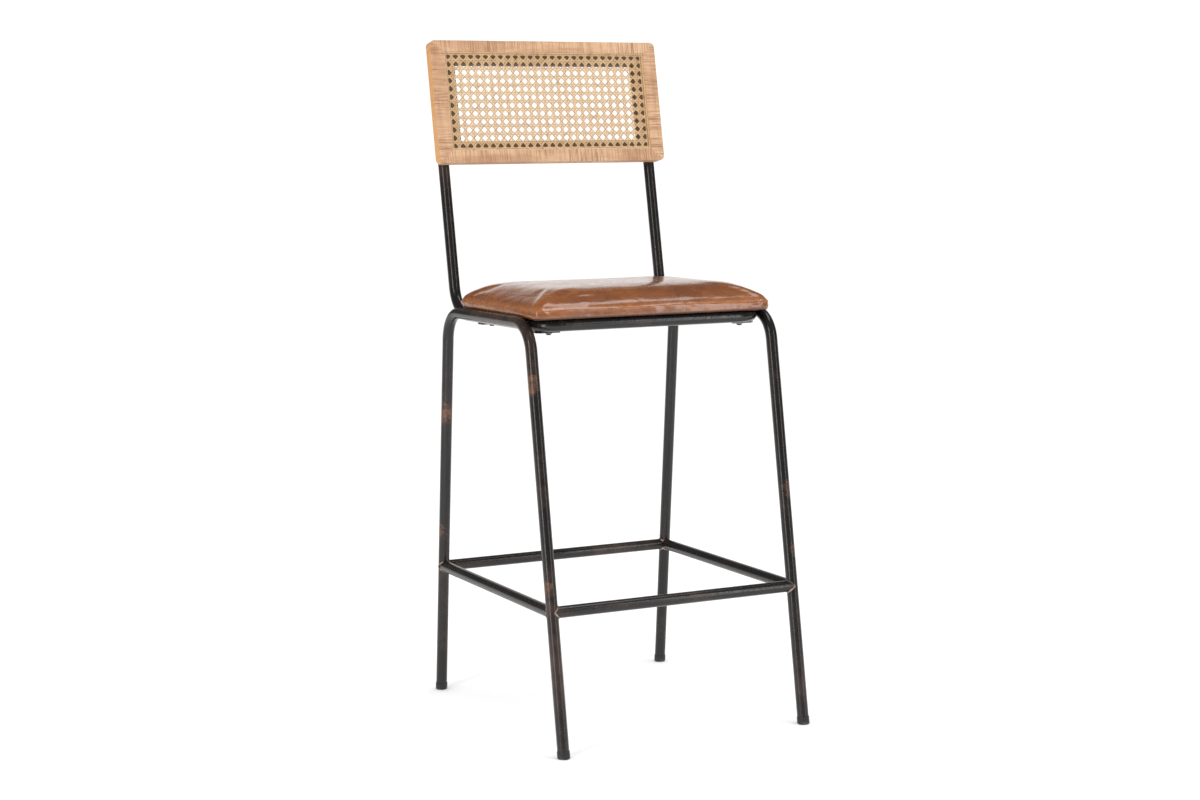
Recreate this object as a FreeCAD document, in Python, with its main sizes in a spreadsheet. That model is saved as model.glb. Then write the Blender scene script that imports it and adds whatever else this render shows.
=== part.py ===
import FreeCAD, Part

import math
import os

import Sketcher
from FreeCAD import Placement, Rotation, Vector

# Bar stool: two welded leg frames of bent tube, a seat-and-back frame of bent tube between them,
# a four-rail footrest, a padded leather seat and a mitred wood back panel with woven cane.
# Millimetres. +Z is up, +Y is towards the back, +X is the sitter's left. In the names, left and
# right are those of someone who stands in front of the stool, so left is at -X.
# The origin is on the floor at the middle of the stool's outline.

SIZES = {
    "tube_diameter": (19.0, "outside diameter of every steel tube"),
    "tube_wall": (1.5, "wall of every steel tube"),
    "cope_gap": (0.05, "play between a coped tube end and the tube it meets"),
    "rail_height": (668.6, "axis height of the seat frame's rails"),
    "leg_rail_height": (673.3, "axis height of the leg frames' top rails"),
    "leg_half_spacing": (218.0, "middle of the stool to a leg frame's plane"),
    "seat_half_spacing": (198.4, "middle of the stool to a side rail of the seat frame"),
    "corner_bend": (40.0, "centreline radius of the seat frame's front corners"),
    "upright_bend": (56.0, "centreline radius where the seat frame turns up"),
    "leg_bend": (52.0, "centreline radius of the leg frames' bends"),
    "seat_frame_front": (162.7, "axis of the seat frame's front rail, forward of the origin"),
    "front_corner": (162.0, "front corner of the leg frames, forward of the origin"),
    "front_foot": (266.7, "front foot on the floor, forward of the origin"),
    "rear_corner": (173.8, "rear corner of the leg frames, behind the origin"),
    "rear_foot": (244.3, "rear foot on the floor, behind the origin"),
    "upright_corner": (184.8, "corner where the seat frame turns up, behind the origin"),
    "back_lean": (10.4, "lean of the uprights and the back panel, degrees"),
    "upright_top": (1116.0, "height of the uprights' open ends"),
    "rear_seat_rail_place": (113.8, "axis of the cross tube under the seat, behind the origin"),
    "footrest_height": (225.0, "axis height of the footrest rails"),
    "glide_height": (12.0, "height of a foot glide below the tube's end"),
    "glide_diameter": (20.4, "outside diameter of a foot glide"),
    "glide_plug_length": (20.0, "length of a glide's plug inside the tube"),
    "plug_gap": (0.1, "play between a plastic plug and the tube's bore"),
    "tab_thickness": (3.0, "thickness of the seat tabs"),
    "tab_size": (40.0, "reach of a seat tab from the axes of the tubes at its corner"),
    "bolt_inset": (15.0, "seat bolt to each straight edge of its tab"),
    "bolt_diameter": (6.0, "thread diameter of the seat bolts"),
    "bolt_hole": (6.8, "hole for a seat bolt in its tab and in the board's nut"),
    "seat_width": (434.0, "width of the padded seat"),
    "seat_front": (179.2, "front of the padded seat, forward of the origin"),
    "seat_rear": (157.8, "rear of the padded seat, behind the origin"),
    "seat_bottom": (678.4, "underside of the leather"),
    "seat_top": (724.6, "crown of the seat"),
    "seat_front_corner": (26.0, "plan radius of the seat's front corners"),
    "seat_rear_corner": (34.0, "plan radius of the seat's rear corners"),
    "seat_edge": (25.0, "radius of the seat's upper edge"),
    "seat_lower_edge": (12.5, "radius of the seat's lower edge, which nests between the leg frames"),
    "board_inset": (12.0, "seat board's edge in from the outside of the leather"),
    "leather": (1.4, "thickness of the leather"),
    "cloth_gap": (0.3, "play between the layers of the seat"),
    "board_thickness": (12.0, "plywood of the seat board"),
    "turn_in": (28.0, "leather folded in under the board"),
    "panel_width": (432.0, "width of the back panel"),
    "panel_length": (213.0, "length of the back panel along its lean"),
    "panel_thickness": (20.0, "thickness of the back panel's wood"),
    "panel_bottom": (925.5, "height of the front lower edge of the back panel"),
    "panel_corner": (9.0, "radius of the back panel's outer corners"),
    "border_side": (25.0, "visible width of a stile"),
    "border_top": (19.6, "visible width of the top rail"),
    "border_bottom": (21.5, "visible width of the bottom rail"),
    "ledge_side": (19.0, "width of a stile's ledge behind the cane"),
    "ledge_top": (21.0, "width of the top rail's ledge behind the cane"),
    "ledge_bottom": (16.4, "width of the bottom rail's ledge behind the cane"),
    "rabbet_depth": (5.0, "depth of the rabbet that holds the cane"),
    "cane_thickness": (1.6, "thickness of the woven cane"),
    "reed_width": (1.7, "width of the reed round the opening"),
    "reed_thickness": (1.6, "thickness of the reed"),
    "dowel_diameter": (6.0, "dowel across each mitre"),
    "dowel_length": (31.0, "length of a mitre dowel"),
    "screw_diameter": (4.2, "shank of the back screws"),
    "screw_reach": (14.0, "how far a back screw goes into the stile"),
}

doc = FreeCAD.newDocument("bar_stool")
sheet = doc.addObject("Spreadsheet::Sheet", "sizes")
for row, (alias, (number, note)) in enumerate(SIZES.items(), start=1):
    sheet.set(f"A{row}", alias)
    sheet.set(f"B{row}", str(number))
    sheet.set(f"C{row}", note)
    sheet.setAlias(f"B{row}", alias)
doc.recompute()

size = {alias: float(sheet.get(alias)) for alias in SIZES}
SIDES = {"left": -1, "right": 1}
UP = Vector(0, 0, 1)
finished = []


def lean_of(foot, corner):
    """Expression for a leg's lean from upright, in degrees."""
    return f"atan((sizes.{foot} - sizes.{corner}) / sizes.leg_rail_height)"


def splay(foot, corner):
    """How far a leg runs out for each millimetre that it drops."""
    return (size[foot] - size[corner]) / size["leg_rail_height"]


FRONT_SPLAY = splay("front_foot", "front_corner")
REAR_SPLAY = splay("rear_foot", "rear_corner")
LEAN_SLOPE = math.tan(math.radians(size["back_lean"]))


def bind(thing, bindings):
    """Tie properties of an object to expressions that read the sheet."""
    for path, expression in bindings.items():
        thing.setExpression(path, expression)


def place(thing, bindings):
    """Tie an object's position to the sheet: bindings are given per axis."""
    for axis, expression in bindings.items():
        thing.setExpression(f".Placement.Base.{axis}", expression)


def finish(thing, label):
    """Name a finished sub-part and put it on the list of parts to write."""
    thing.Label = label
    finished.append(thing)
    return thing


def new_sketch(body, name, plane_role):
    """A sketch on one of the body's own origin planes."""
    sketch = body.newObject("Sketcher::SketchObject", name)
    plane = next(f for f in body.Origin.OriginFeatures if f.Role == plane_role)
    sketch.AttachmentSupport = (plane, [""])
    sketch.MapMode = "FlatFace"
    return sketch


def dimension(sketch, kind, name, target, expression):
    """Add a named dimension to a sketch, first at its present size, then tied to the sheet."""
    index = sketch.addConstraint(Sketcher.Constraint(kind, *target))
    sketch.renameConstraint(index, name)
    sketch.setExpression(f"Constraints.{name}", expression)


def add_polygon(sketch, points):
    """Closed outline of straight lines with joined ends; returns the line indices."""
    lines = []
    for first, second in zip(points, points[1:] + points[:1]):
        lines.append(sketch.addGeometry(Part.LineSegment(Vector(*first, 0), Vector(*second, 0))))
    for line, following in zip(lines, lines[1:] + lines[:1]):
        sketch.addConstraint(Sketcher.Constraint("Coincident", line, 2, following, 1))
    return lines


def pin_point(sketch, name, line, end, point, expressions):
    """Fix one end of a line at a place measured from the sketch's origin."""
    for kind, value, expression in zip(("DistanceX", "DistanceY"), point, expressions):
        if expression is None:
            on_axis = -2 if kind == "DistanceX" else -1
            sketch.addConstraint(Sketcher.Constraint("PointOnObject", line, end, on_axis))
        else:
            target = (-1, 1, line, end, value)
            dimension(sketch, kind, f"{name}_{kind[-1].lower()}", target, expression)


def new_rectangle(body, name, plane_role, low, high, expressions):
    """Rectangle fixed by its low and high corners; expressions are low x, low y, high x, high y."""
    sketch = new_sketch(body, name, plane_role)
    points = [low, (high[0], low[1]), high, (low[0], high[1])]
    lines = add_polygon(sketch, points)
    for line, kind in zip(lines, ("Horizontal", "Vertical", "Horizontal", "Vertical")):
        sketch.addConstraint(Sketcher.Constraint(kind, line))
    pin_point(sketch, "low", lines[0], 1, low, expressions[:2])
    pin_point(sketch, "high", lines[2], 1, high, expressions[2:])
    return sketch


def pad(body, sketch, length_expression, reverse=False):
    feature = body.newObject("PartDesign::Pad", f"{sketch.Name}_pad")
    feature.Profile = sketch
    feature.Reversed = reverse
    feature.setExpression("Length", length_expression)
    return feature


def pocket(body, sketch, length_expression):
    """Pocket that has to take material away."""
    before = body.Tip
    doc.recompute()
    volume_before = before.Shape.Volume
    feature = body.newObject("PartDesign::Pocket", f"{sketch.Name}_pocket")
    feature.Profile = sketch
    feature.setExpression("Length", length_expression)
    doc.recompute()
    if feature.Shape.Volume >= volume_before:
        raise RuntimeError(f"{feature.Name} removed nothing")
    return feature


def fillet(body, name, wanted, radius_expression):
    """Fillet the edges of the body's tip that the wanted test picks."""
    doc.recompute()
    base = body.Tip
    picked = [f"Edge{i}" for i, edge in enumerate(base.Shape.Edges, start=1) if wanted(edge)]
    if not picked:
        raise RuntimeError(f"{name} picked no edges")
    feature = body.newObject("PartDesign::Fillet", name)
    feature.Base = (base, picked)
    feature.setExpression("Radius", radius_expression)
    return feature


def is_upright_edge(edge):
    box = edge.BoundBox
    return box.XLength < 1e-4 and box.YLength < 1e-4


def cylinder(name, radius_expression, length_expression, base, direction, bindings=None):
    """Cylinder from base along direction, with its radius and length tied to the sheet."""
    rod = doc.addObject("Part::Cylinder", name)
    bind(rod, {"Radius": radius_expression, "Height": length_expression})
    rod.Placement = Placement(Vector(*base), Rotation(UP, Vector(*direction)))
    place(rod, bindings or {})
    return rod


def group(name, pieces):
    """Identical pieces kept as separate solids in one sub-part."""
    compound = doc.addObject("Part::Compound", name)
    compound.Links = pieces
    return compound


def cut(name, base, tool):
    result = doc.addObject("Part::Cut", name)
    result.Base = base
    result.Tool = tool
    return result


def fuse(name, pieces):
    result = doc.addObject("Part::MultiFuse", name)
    result.Shapes = pieces
    return result


# ---------------------------------------------------------------------------------------------
# Bent tubes: each run is a straight, one bend and a second straight, swept from the plane y = 0
# ---------------------------------------------------------------------------------------------

def tube_section(body, name, across_expression, across):
    """Ring section of the tube in the body's XZ plane, at a distance across from the middle."""
    sketch = new_sketch(body, name, "XZ_Plane")
    outer_radius = size["tube_diameter"] / 2
    inner_radius = outer_radius - size["tube_wall"]
    for radius in (outer_radius, inner_radius):
        ring = sketch.addGeometry(Part.Circle(Vector(across, 0, 0), UP, radius))
        if across_expression is None:
            sketch.addConstraint(Sketcher.Constraint("Coincident", ring, 3, -1, 1))
        else:
            sketch.addConstraint(Sketcher.Constraint("PointOnObject", ring, 3, -1))
            target = (-1, 1, ring, 3, across)
            dimension(sketch, "DistanceX", f"across{ring}", target, across_expression)
    for ring, name, expression in (
        (0, "outside", "sizes.tube_diameter"),
        (1, "bore", "sizes.tube_diameter - 2 * sizes.tube_wall"),
    ):
        diameter = 2 * (outer_radius, inner_radius)[ring]
        dimension(sketch, "Diameter", name, (ring, diameter), expression)
    return sketch


def bend_run(body, name, plane_role, section, bend_size, start, corner, end, ties):
    """Sweep the tube's section along a straight, a bend and a straight.

    bend_size names the bend's radius; start, corner and end are points of the spine's plane. ties
    holds expressions: start (x, y), end (x, y), angle of the second straight, and offset of the
    plane from the body's origin.
    """
    radius = size[bend_size]
    start_v, corner_v, end_v = (Vector(*p, 0) for p in (start, corner, end))
    first = (corner_v - start_v).normalize()
    second = (end_v - corner_v).normalize()
    turn = first.getAngle(second)
    reach = radius * math.tan(turn / 2)
    tangent_in = corner_v - first * reach
    tangent_out = corner_v + second * reach
    inward = (second - first).normalize()
    middle = corner_v + inward * (radius / math.cos(turn / 2) - radius)
    spine = new_sketch(body, f"{name}_spine", plane_role)
    if "offset" in ties:
        spine.setExpression(".AttachmentOffset.Base.z", ties["offset"])
    line_in = spine.addGeometry(Part.LineSegment(start_v, tangent_in))
    bend = spine.addGeometry(Part.Arc(tangent_in, middle, tangent_out))
    line_out = spine.addGeometry(Part.LineSegment(tangent_out, end_v))
    arc_start = spine.getPoint(bend, 1)
    enters_at = 1 if arc_start.isEqual(tangent_in, 1e-6) else 2
    leaves_at = 3 - enters_at
    spine.addConstraint(Sketcher.Constraint("Tangent", line_in, 2, bend, enters_at))
    spine.addConstraint(Sketcher.Constraint("Tangent", bend, leaves_at, line_out, 1))
    along = "Horizontal" if abs(first.y) < 1e-9 else "Vertical"
    spine.addConstraint(Sketcher.Constraint(along, line_in))
    pin_point(spine, "start", line_in, 1, start, ties["start"])
    pin_point(spine, "end", line_out, 2, end, ties["end"])
    dimension(spine, "Radius", "bend", (bend, radius), f"sizes.{bend_size}")
    heading = math.atan2(second.y, second.x)
    dimension(spine, "Angle", "heading", (line_out, heading), ties["angle"])
    run = body.newObject("PartDesign::AdditivePipe", f"{name}_run")
    run.Profile = section
    run.Spine = (spine, ["Edge1", "Edge2", "Edge3"])
    return run


def leg_frame(side):
    """One bent tube: front leg, top rail and rear leg in an upright plane."""
    label = f"{side}_leg_frame"
    body = doc.addObject("PartDesign::Body", label)
    section = tube_section(body, f"{label}_section", None, 0)
    drop = size["leg_rail_height"] - size["glide_height"]
    drop_tie = "-(sizes.leg_rail_height - sizes.glide_height)"
    for name, direction, foot, corner in (
        ("front", -1, "front_foot", "front_corner"),
        ("rear", 1, "rear_foot", "rear_corner"),
    ):
        reach = size[foot] - size["glide_height"] * splay(foot, corner)
        lean = lean_of(foot, corner)
        reach_tie = f"sizes.{foot} - sizes.glide_height * tan({lean})"
        sign = "-" if direction < 0 else ""
        angle = f"-90 - {lean} / 1 deg" if direction < 0 else f"-90 + {lean} / 1 deg"
        bend_run(
            body, f"{label}_{name}", "YZ_Plane", section, "leg_bend",
            start=(0, 0),
            corner=(direction * size[corner], 0),
            end=(direction * reach, -drop),
            ties={"start": (None, None), "end": (f"{sign}({reach_tie})", drop_tie), "angle": angle},
        )
    sign = "-" if SIDES[side] < 0 else ""
    place(body, {"x": f"{sign}sizes.leg_half_spacing", "z": "sizes.leg_rail_height"})
    return finish(body, label)


def upright_end():
    """Place of the uprights' open ends, from the seat frame's own level."""
    rise = size["upright_top"] - size["rail_height"]
    return size["upright_corner"] + rise * LEAN_SLOPE, rise


def back_screw_points():
    """Where the four back screws cross the uprights' axes, in the stool's own frame."""
    rise_to_panel = size["panel_bottom"] - size["rail_height"]
    points = []
    for side in SIDES.values():
        for share in (0.2, 0.8):
            rise = rise_to_panel + share * size["panel_length"] * math.cos(math.radians(size["back_lean"]))
            points.append(Vector(
                side * size["seat_half_spacing"],
                size["upright_corner"] + rise * LEAN_SLOPE,
                size["rail_height"] + rise,
            ))
    return points


def seat_back_frame():
    """One bent tube: round the seat's front, back along its sides and up into the uprights."""
    label = "seat_back_frame"
    body = doc.addObject("PartDesign::Body", f"{label}_tube")
    top_reach, rise = upright_end()
    rise_tie = "sizes.upright_top - sizes.rail_height"
    reach_tie = f"sizes.upright_corner + ({rise_tie}) * tan(sizes.back_lean * 1 deg)"
    for side, sign in SIDES.items():
        across = sign * size["seat_half_spacing"]
        across_tie = "sizes.seat_half_spacing" if sign > 0 else "-sizes.seat_half_spacing"
        section = tube_section(body, f"{side}_side_section", across_tie, across)
        bend_run(
            body, f"{side}_front", "XY_Plane", section, "corner_bend",
            start=(across, 0),
            corner=(across, -size["seat_frame_front"]),
            end=(0, -size["seat_frame_front"]),
            ties={
                "start": (across_tie, None),
                "end": (None, "-sizes.seat_frame_front"),
                "angle": "180" if sign > 0 else "0",
            },
        )
        bend_run(
            body, f"{side}_upright", "YZ_Plane", section, "upright_bend",
            start=(0, 0),
            corner=(size["upright_corner"], 0),
            end=(top_reach, rise),
            ties={
                "start": (None, None),
                "end": (reach_tie, rise_tie),
                "angle": "90 - sizes.back_lean",
                "offset": across_tie,
            },
        )
    place(body, {"z": "sizes.rail_height"})
    lean = math.radians(size["back_lean"])
    out_of_panel = Vector(0, math.cos(lean), -math.sin(lean))
    drills = []
    for number, point in enumerate(back_screw_points(), start=1):
        base = point - out_of_panel * size["tube_diameter"]
        drills.append(cylinder(
            f"upright_drill_{number}", "sizes.screw_diameter / 2 + sizes.plug_gap",
            "2 * sizes.tube_diameter", base, out_of_panel,
        ))
    return finish(cut(f"{label}_drilled", body, fuse("upright_drills", drills)), label)


# ---------------------------------------------------------------------------------------------
# Straight tubes with coped ends
# ---------------------------------------------------------------------------------------------

def leg_cutter(name, side, row):
    """Solid rod where a leg is, a little larger than the tube, to cope the footrest rails."""
    direction, foot, slope = ((-1, "front_foot", FRONT_SPLAY), (1, "rear_foot", REAR_SPLAY))[row == "rear"]
    base = (side * size["leg_half_spacing"], direction * size[foot], 0)
    return cylinder(
        name, "sizes.tube_diameter / 2 + sizes.cope_gap", "sizes.rail_height / 2",
        base, (0, -direction * slope, 1),
    )


def straight_tube(name, length_expression, base, direction, bindings, cutters):
    """Tube from base along direction, with its ends coped by the cutters."""
    outer = cylinder(f"{name}_outer", "sizes.tube_diameter / 2", length_expression, base, direction, bindings)
    bore = cylinder(
        f"{name}_bore", "sizes.tube_diameter / 2 - sizes.tube_wall", length_expression,
        base, direction, bindings,
    )
    ring = cut(f"{name}_ring", outer, bore)
    return cut(f"{name}_coped", ring, fuse(f"{name}_cutters", cutters))


def footrest_place(row):
    """How far in front of or behind the origin a footrest rail's axis is, and its expression."""
    if row == "front":
        distance = size["front_foot"] - size["footrest_height"] * FRONT_SPLAY
        lean = lean_of("front_foot", "front_corner")
        return -distance, f"-(sizes.front_foot - sizes.footrest_height * tan({lean}))"
    distance = size["rear_foot"] - size["footrest_height"] * REAR_SPLAY
    lean = lean_of("rear_foot", "rear_corner")
    return distance, f"sizes.rear_foot - sizes.footrest_height * tan({lean})"


def footrest():
    """Front and rear rails between the leg frames, then a rail along each leg frame."""
    height = size["footrest_height"]
    for row in ("front", "rear"):
        label = f"footrest_{row}_rail"
        place_y, tie_y = footrest_place(row)
        cutters = [leg_cutter(f"{label}_{side}_leg", sign, row) for side, sign in SIDES.items()]
        rail = straight_tube(
            label, "2 * sizes.leg_half_spacing", (-size["leg_half_spacing"], place_y, height), (1, 0, 0),
            {"x": "-sizes.leg_half_spacing", "y": tie_y, "z": "sizes.footrest_height"}, cutters,
        )
        finish(rail, label)
    front_y, front_tie = footrest_place("front")
    rear_y, rear_tie = footrest_place("rear")
    for side, sign in SIDES.items():
        label = f"footrest_{side}_rail"
        cutters = [leg_cutter(f"{label}_{row}_leg", sign, row) for row in ("front", "rear")]
        for row, place_y in (("front", front_y), ("rear", rear_y)):
            cutters.append(cylinder(
                f"{label}_{row}_rail", "sizes.tube_diameter / 2 + sizes.cope_gap",
                "2 * sizes.leg_half_spacing", (-size["leg_half_spacing"], place_y, height), (1, 0, 0),
            ))
        across_tie = "sizes.leg_half_spacing" if sign > 0 else "-sizes.leg_half_spacing"
        rail = straight_tube(
            label, f"({rear_tie}) - ({front_tie})",
            (sign * size["leg_half_spacing"], front_y, height), (0, 1, 0),
            {"x": across_tie, "y": front_tie, "z": "sizes.footrest_height"}, cutters,
        )
        finish(rail, label)


def rear_seat_rail():
    """Cross tube between the seat frame's side rails."""
    label = "rear_seat_rail"
    height = size["rail_height"]
    cutters = []
    for side, sign in SIDES.items():
        cutters.append(cylinder(
            f"{label}_{side}_side", "sizes.tube_diameter / 2 + sizes.cope_gap", "2 * sizes.tube_diameter",
            (sign * size["seat_half_spacing"], size["rear_seat_rail_place"] - size["tube_diameter"], height),
            (0, 1, 0),
        ))
    tube = straight_tube(
        label, "2 * sizes.seat_half_spacing",
        (-size["seat_half_spacing"], size["rear_seat_rail_place"], height), (1, 0, 0),
        {"x": "-sizes.seat_half_spacing", "y": "sizes.rear_seat_rail_place", "z": "sizes.rail_height"},
        cutters,
    )
    return finish(tube, label)


def seat_frame_welds():
    """Round beads under the grooves between the seat frame's side rails and the leg frames."""
    bead_radius = 2.4
    bead_length = 34
    bead_starts = (-116, 86)
    low = (size["seat_half_spacing"], size["rail_height"])
    high = (size["leg_half_spacing"], size["leg_rail_height"])
    apart = math.dist(low, high)
    from_axis = size["tube_diameter"] / 2 + bead_radius
    lift = math.sqrt(from_axis ** 2 - (apart / 2) ** 2)
    square = (-(high[1] - low[1]) / apart, (high[0] - low[0]) / apart)
    beads = []
    for sign in SIDES.values():
        for start in bead_starts:
            across = (low[0] + high[0]) / 2 - lift * square[0]
            height = (low[1] + high[1]) / 2 - lift * square[1]
            beads.append(cylinder(
                f"seat_weld_{len(beads) + 1}", f"{bead_radius} mm", f"{bead_length} mm",
                (sign * across, start, height), (0, 1, 0),
            ))
    return finish(group("seat_frame_welds_group", beads), "seat_frame_welds")


# ---------------------------------------------------------------------------------------------
# Feet and caps
# ---------------------------------------------------------------------------------------------

def foot_glide(side, row):
    """Plastic glide: a cap cut flat at the floor and a plug up inside the leg."""
    label = f"foot_glide_{row}_{side}"
    direction, foot, slope = ((-1, "front_foot", FRONT_SPLAY), (1, "rear_foot", REAR_SPLAY))[row == "rear"]
    along = Vector(0, -direction * slope, 1).normalize()
    floor_point = Vector(SIDES[side] * size["leg_half_spacing"], direction * size[foot], 0)
    below = 4.0
    cap = cylinder(
        f"{label}_cap", "sizes.glide_diameter / 2", f"sizes.glide_height / {along.z} + {below}",
        floor_point - along * below, along,
    )
    plug = cylinder(
        f"{label}_plug", "sizes.tube_diameter / 2 - sizes.tube_wall - sizes.plug_gap",
        f"sizes.glide_height / {along.z} + sizes.glide_plug_length", floor_point, along,
    )
    floor = doc.addObject("Part::Box", f"{label}_floor")
    floor_size = 60
    floor.Length = floor_size
    floor.Width = floor_size
    floor.Height = floor_size
    floor.Placement.Base = floor_point - Vector(floor_size / 2, floor_size / 2, floor_size)
    trimmed = cut(f"{label}_trimmed", fuse(f"{label}_whole", [cap, plug]), floor)
    doc.recompute()
    rounded = doc.addObject("Part::Fillet", f"{label}_rounded")
    rounded.Base = trimmed
    lower_edge = [
        i for i, edge in enumerate(trimmed.Shape.Edges, start=1)
        if edge.BoundBox.ZMax < 1e-4 and edge.BoundBox.XLength > size["glide_diameter"] / 2
    ]
    edge_radius = 2.2
    rounded.Edges = [(i, edge_radius, edge_radius) for i in lower_edge]
    return finish(rounded, label)


def upright_cap(side):
    """Plastic plug in the open top of an upright: a thin disc on a short plug."""
    label = f"upright_cap_{side}"
    reach, rise = upright_end()
    top = Vector(SIDES[side] * size["seat_half_spacing"], reach, size["rail_height"] + rise)
    along = Vector(0, LEAN_SLOPE, 1).normalize()
    disc_thickness = 2.5
    plug_length = 14
    disc = cylinder(f"{label}_disc", "sizes.tube_diameter / 2", f"{disc_thickness} mm", top, along)
    plug = cylinder(
        f"{label}_plug", "sizes.tube_diameter / 2 - sizes.tube_wall - sizes.plug_gap",
        f"{plug_length} mm", top - along * plug_length, along,
    )
    return finish(fuse(f"{label}_whole", [disc, plug]), label)


# ---------------------------------------------------------------------------------------------
# Seat: tabs, bolts, board, foam, leather and dust cover
# ---------------------------------------------------------------------------------------------

def tab_corners():
    """Name, sign across, sign front to back, and inner corner of the tubes for each seat tab."""
    inner_x = size["seat_half_spacing"]
    rear_y = size["rear_seat_rail_place"]
    for side, sign in SIDES.items():
        yield f"seat_tab_front_{side}", sign, -1, Vector(sign * inner_x, -size["seat_frame_front"], 0)
        yield f"seat_tab_rear_{side}", sign, 1, Vector(sign * inner_x, rear_y, 0)


def bolt_points():
    """Axis of each seat bolt in plan."""
    for _, across, lengthwise, corner in tab_corners():
        inset = size["tube_diameter"] / 2 + size["bolt_inset"]
        yield corner + Vector(-across * inset, -lengthwise * inset, 0)


def seat_tabs():
    """Lugs welded under the side rails near each corner, with a hole for the seat bolt."""
    under = size["rail_height"] - size["tube_diameter"] / 2 - size["tab_thickness"]
    reach = size["tab_size"]
    for (label, across, lengthwise, corner), bolt in zip(tab_corners(), bolt_points()):
        body = doc.addObject("PartDesign::Body", f"{label}_body")
        sketch = new_sketch(body, f"{label}_outline", "XY_Plane")
        start, inner_cut, bend_cut = 14, 22, 8
        outline = [
            (bend_cut, start), (reach, start), (reach, inner_cut),
            (inner_cut, reach), (0, reach), (0, start + bend_cut),
        ]
        points = [(-across * x, -lengthwise * y) for x, y in outline]
        add_polygon(sketch, points)
        sketch.addConstraint([Sketcher.Constraint("Block", line) for line in range(len(points))])
        hole_at = bolt - corner
        hole = sketch.addGeometry(Part.Circle(Vector(hole_at.x, hole_at.y, 0), UP, size["bolt_hole"] / 2))
        dimension(sketch, "Diameter", "hole", (hole, size["bolt_hole"]), "sizes.bolt_hole")
        for kind, value in (("DistanceX", hole_at.x), ("DistanceY", hole_at.y)):
            sign = "-" if value < 0 else ""
            expression = f"{sign}(sizes.tube_diameter / 2 + sizes.bolt_inset)"
            dimension(sketch, kind, f"hole_{kind[-1].lower()}", (-1, 1, hole, 3, value), expression)
        pad(body, sketch, "sizes.tab_thickness")
        body.Placement.Base = Vector(corner.x, corner.y, under)
        place(body, {"z": "sizes.rail_height - sizes.tube_diameter / 2 - sizes.tab_thickness"})
        finish(body, label)


def seat_fasteners():
    """Button-head bolts with washers under the tabs, and tee nuts in the board."""
    under_tab = size["rail_height"] - size["tube_diameter"] / 2 - size["tab_thickness"]
    washer_thickness = 1.0
    head_height = 2.8
    head_radius = 5.4
    board_bottom = size["seat_bottom"] + size["leather"] + size["cloth_gap"]
    board_top = board_bottom + size["board_thickness"]
    bolts, washers, nuts = [], [], []
    for number, point in enumerate(bolt_points(), start=1):
        washer_bottom = under_tab - washer_thickness
        head = doc.addObject("Part::Cone", f"bolt_head_{number}")
        head.Radius1 = head_radius * 0.6
        head.Radius2 = head_radius
        head.Height = head_height
        head.Placement.Base = Vector(point.x, point.y, washer_bottom - head_height)
        shank_length = board_top - 1.5 - washer_bottom
        shank = cylinder(
            f"bolt_shank_{number}", "sizes.bolt_diameter / 2", f"{shank_length} mm",
            (point.x, point.y, washer_bottom), UP,
        )
        bolts.append(fuse(f"seat_bolt_{number}", [head, shank]))
        disc = cylinder(
            f"washer_disc_{number}", "sizes.bolt_diameter", f"{washer_thickness} mm",
            (point.x, point.y, washer_bottom), UP,
        )
        bore = cylinder(
            f"washer_bore_{number}", "sizes.bolt_hole / 2", f"{washer_thickness} mm",
            (point.x, point.y, washer_bottom), UP,
        )
        washers.append(cut(f"seat_washer_{number}", disc, bore))
        flange = cylinder(
            f"nut_flange_{number}", "1.6 * sizes.bolt_diameter", "1.3 mm",
            (point.x, point.y, board_top), UP,
        )
        barrel = cylinder(
            f"nut_barrel_{number}", "sizes.bolt_diameter * 0.75", "9 mm",
            (point.x, point.y, board_top - 9), UP,
        )
        thread = cylinder(
            f"nut_thread_{number}", "sizes.bolt_hole / 2", "12 mm", (point.x, point.y, board_top - 10), UP,
        )
        nuts.append(cut(f"tee_nut_{number}", fuse(f"nut_blank_{number}", [flange, barrel]), thread))
    finish(group("seat_bolts_group", bolts), "seat_bolts")
    finish(group("seat_washers_group", washers), "seat_washers")
    finish(group("seat_tee_nuts_group", nuts), "seat_tee_nuts")


def seat_slab(name, inset, inset_tie, bottom_tie, height_tie, upper_edge_tie=None, lower_edge_tie=None):
    """Slab with the seat's rounded plan, inset all round; upper and lower edges rounded if asked."""
    body = doc.addObject("PartDesign::Body", name)
    half = size["seat_width"] / 2
    sketch = new_rectangle(
        body, f"{name}_plan", "XY_Plane",
        (-half + inset, -size["seat_front"] + inset),
        (half - inset, size["seat_rear"] - inset),
        (
            f"-sizes.seat_width / 2 + {inset_tie}", f"-sizes.seat_front + {inset_tie}",
            f"sizes.seat_width / 2 - ({inset_tie})", f"sizes.seat_rear - ({inset_tie})",
        ),
    )
    pad(body, sketch, height_tie)
    for row, sign in (("front", -1), ("rear", 1)):
        fillet(
            body, f"{name}_{row}_corners",
            lambda edge: is_upright_edge(edge) and sign * edge.BoundBox.Center.y > 0,
            f"max(sizes.seat_{row}_corner - ({inset_tie}); 4)",
        )
    doc.recompute()
    top = body.Shape.BoundBox.ZMax
    if upper_edge_tie:
        fillet(body, f"{name}_upper_edge", lambda edge: edge.BoundBox.ZMin > top - 1e-4, upper_edge_tie)
    if lower_edge_tie:
        fillet(body, f"{name}_lower_edge", lambda edge: edge.BoundBox.ZMax < 1e-4, lower_edge_tie)
    place(body, {"z": bottom_tie})
    return body


def seat_drills(name, radius_tie):
    """Rods on the bolts' axes, long enough to go through the board and the dust cover."""
    rods = []
    for number, point in enumerate(bolt_points(), start=1):
        rods.append(cylinder(
            f"{name}_{number}", radius_tie, "2 * sizes.board_thickness",
            (point.x, point.y, size["seat_bottom"] - size["leather"]), UP,
        ))
    return fuse(f"{name}_all", rods)


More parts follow.
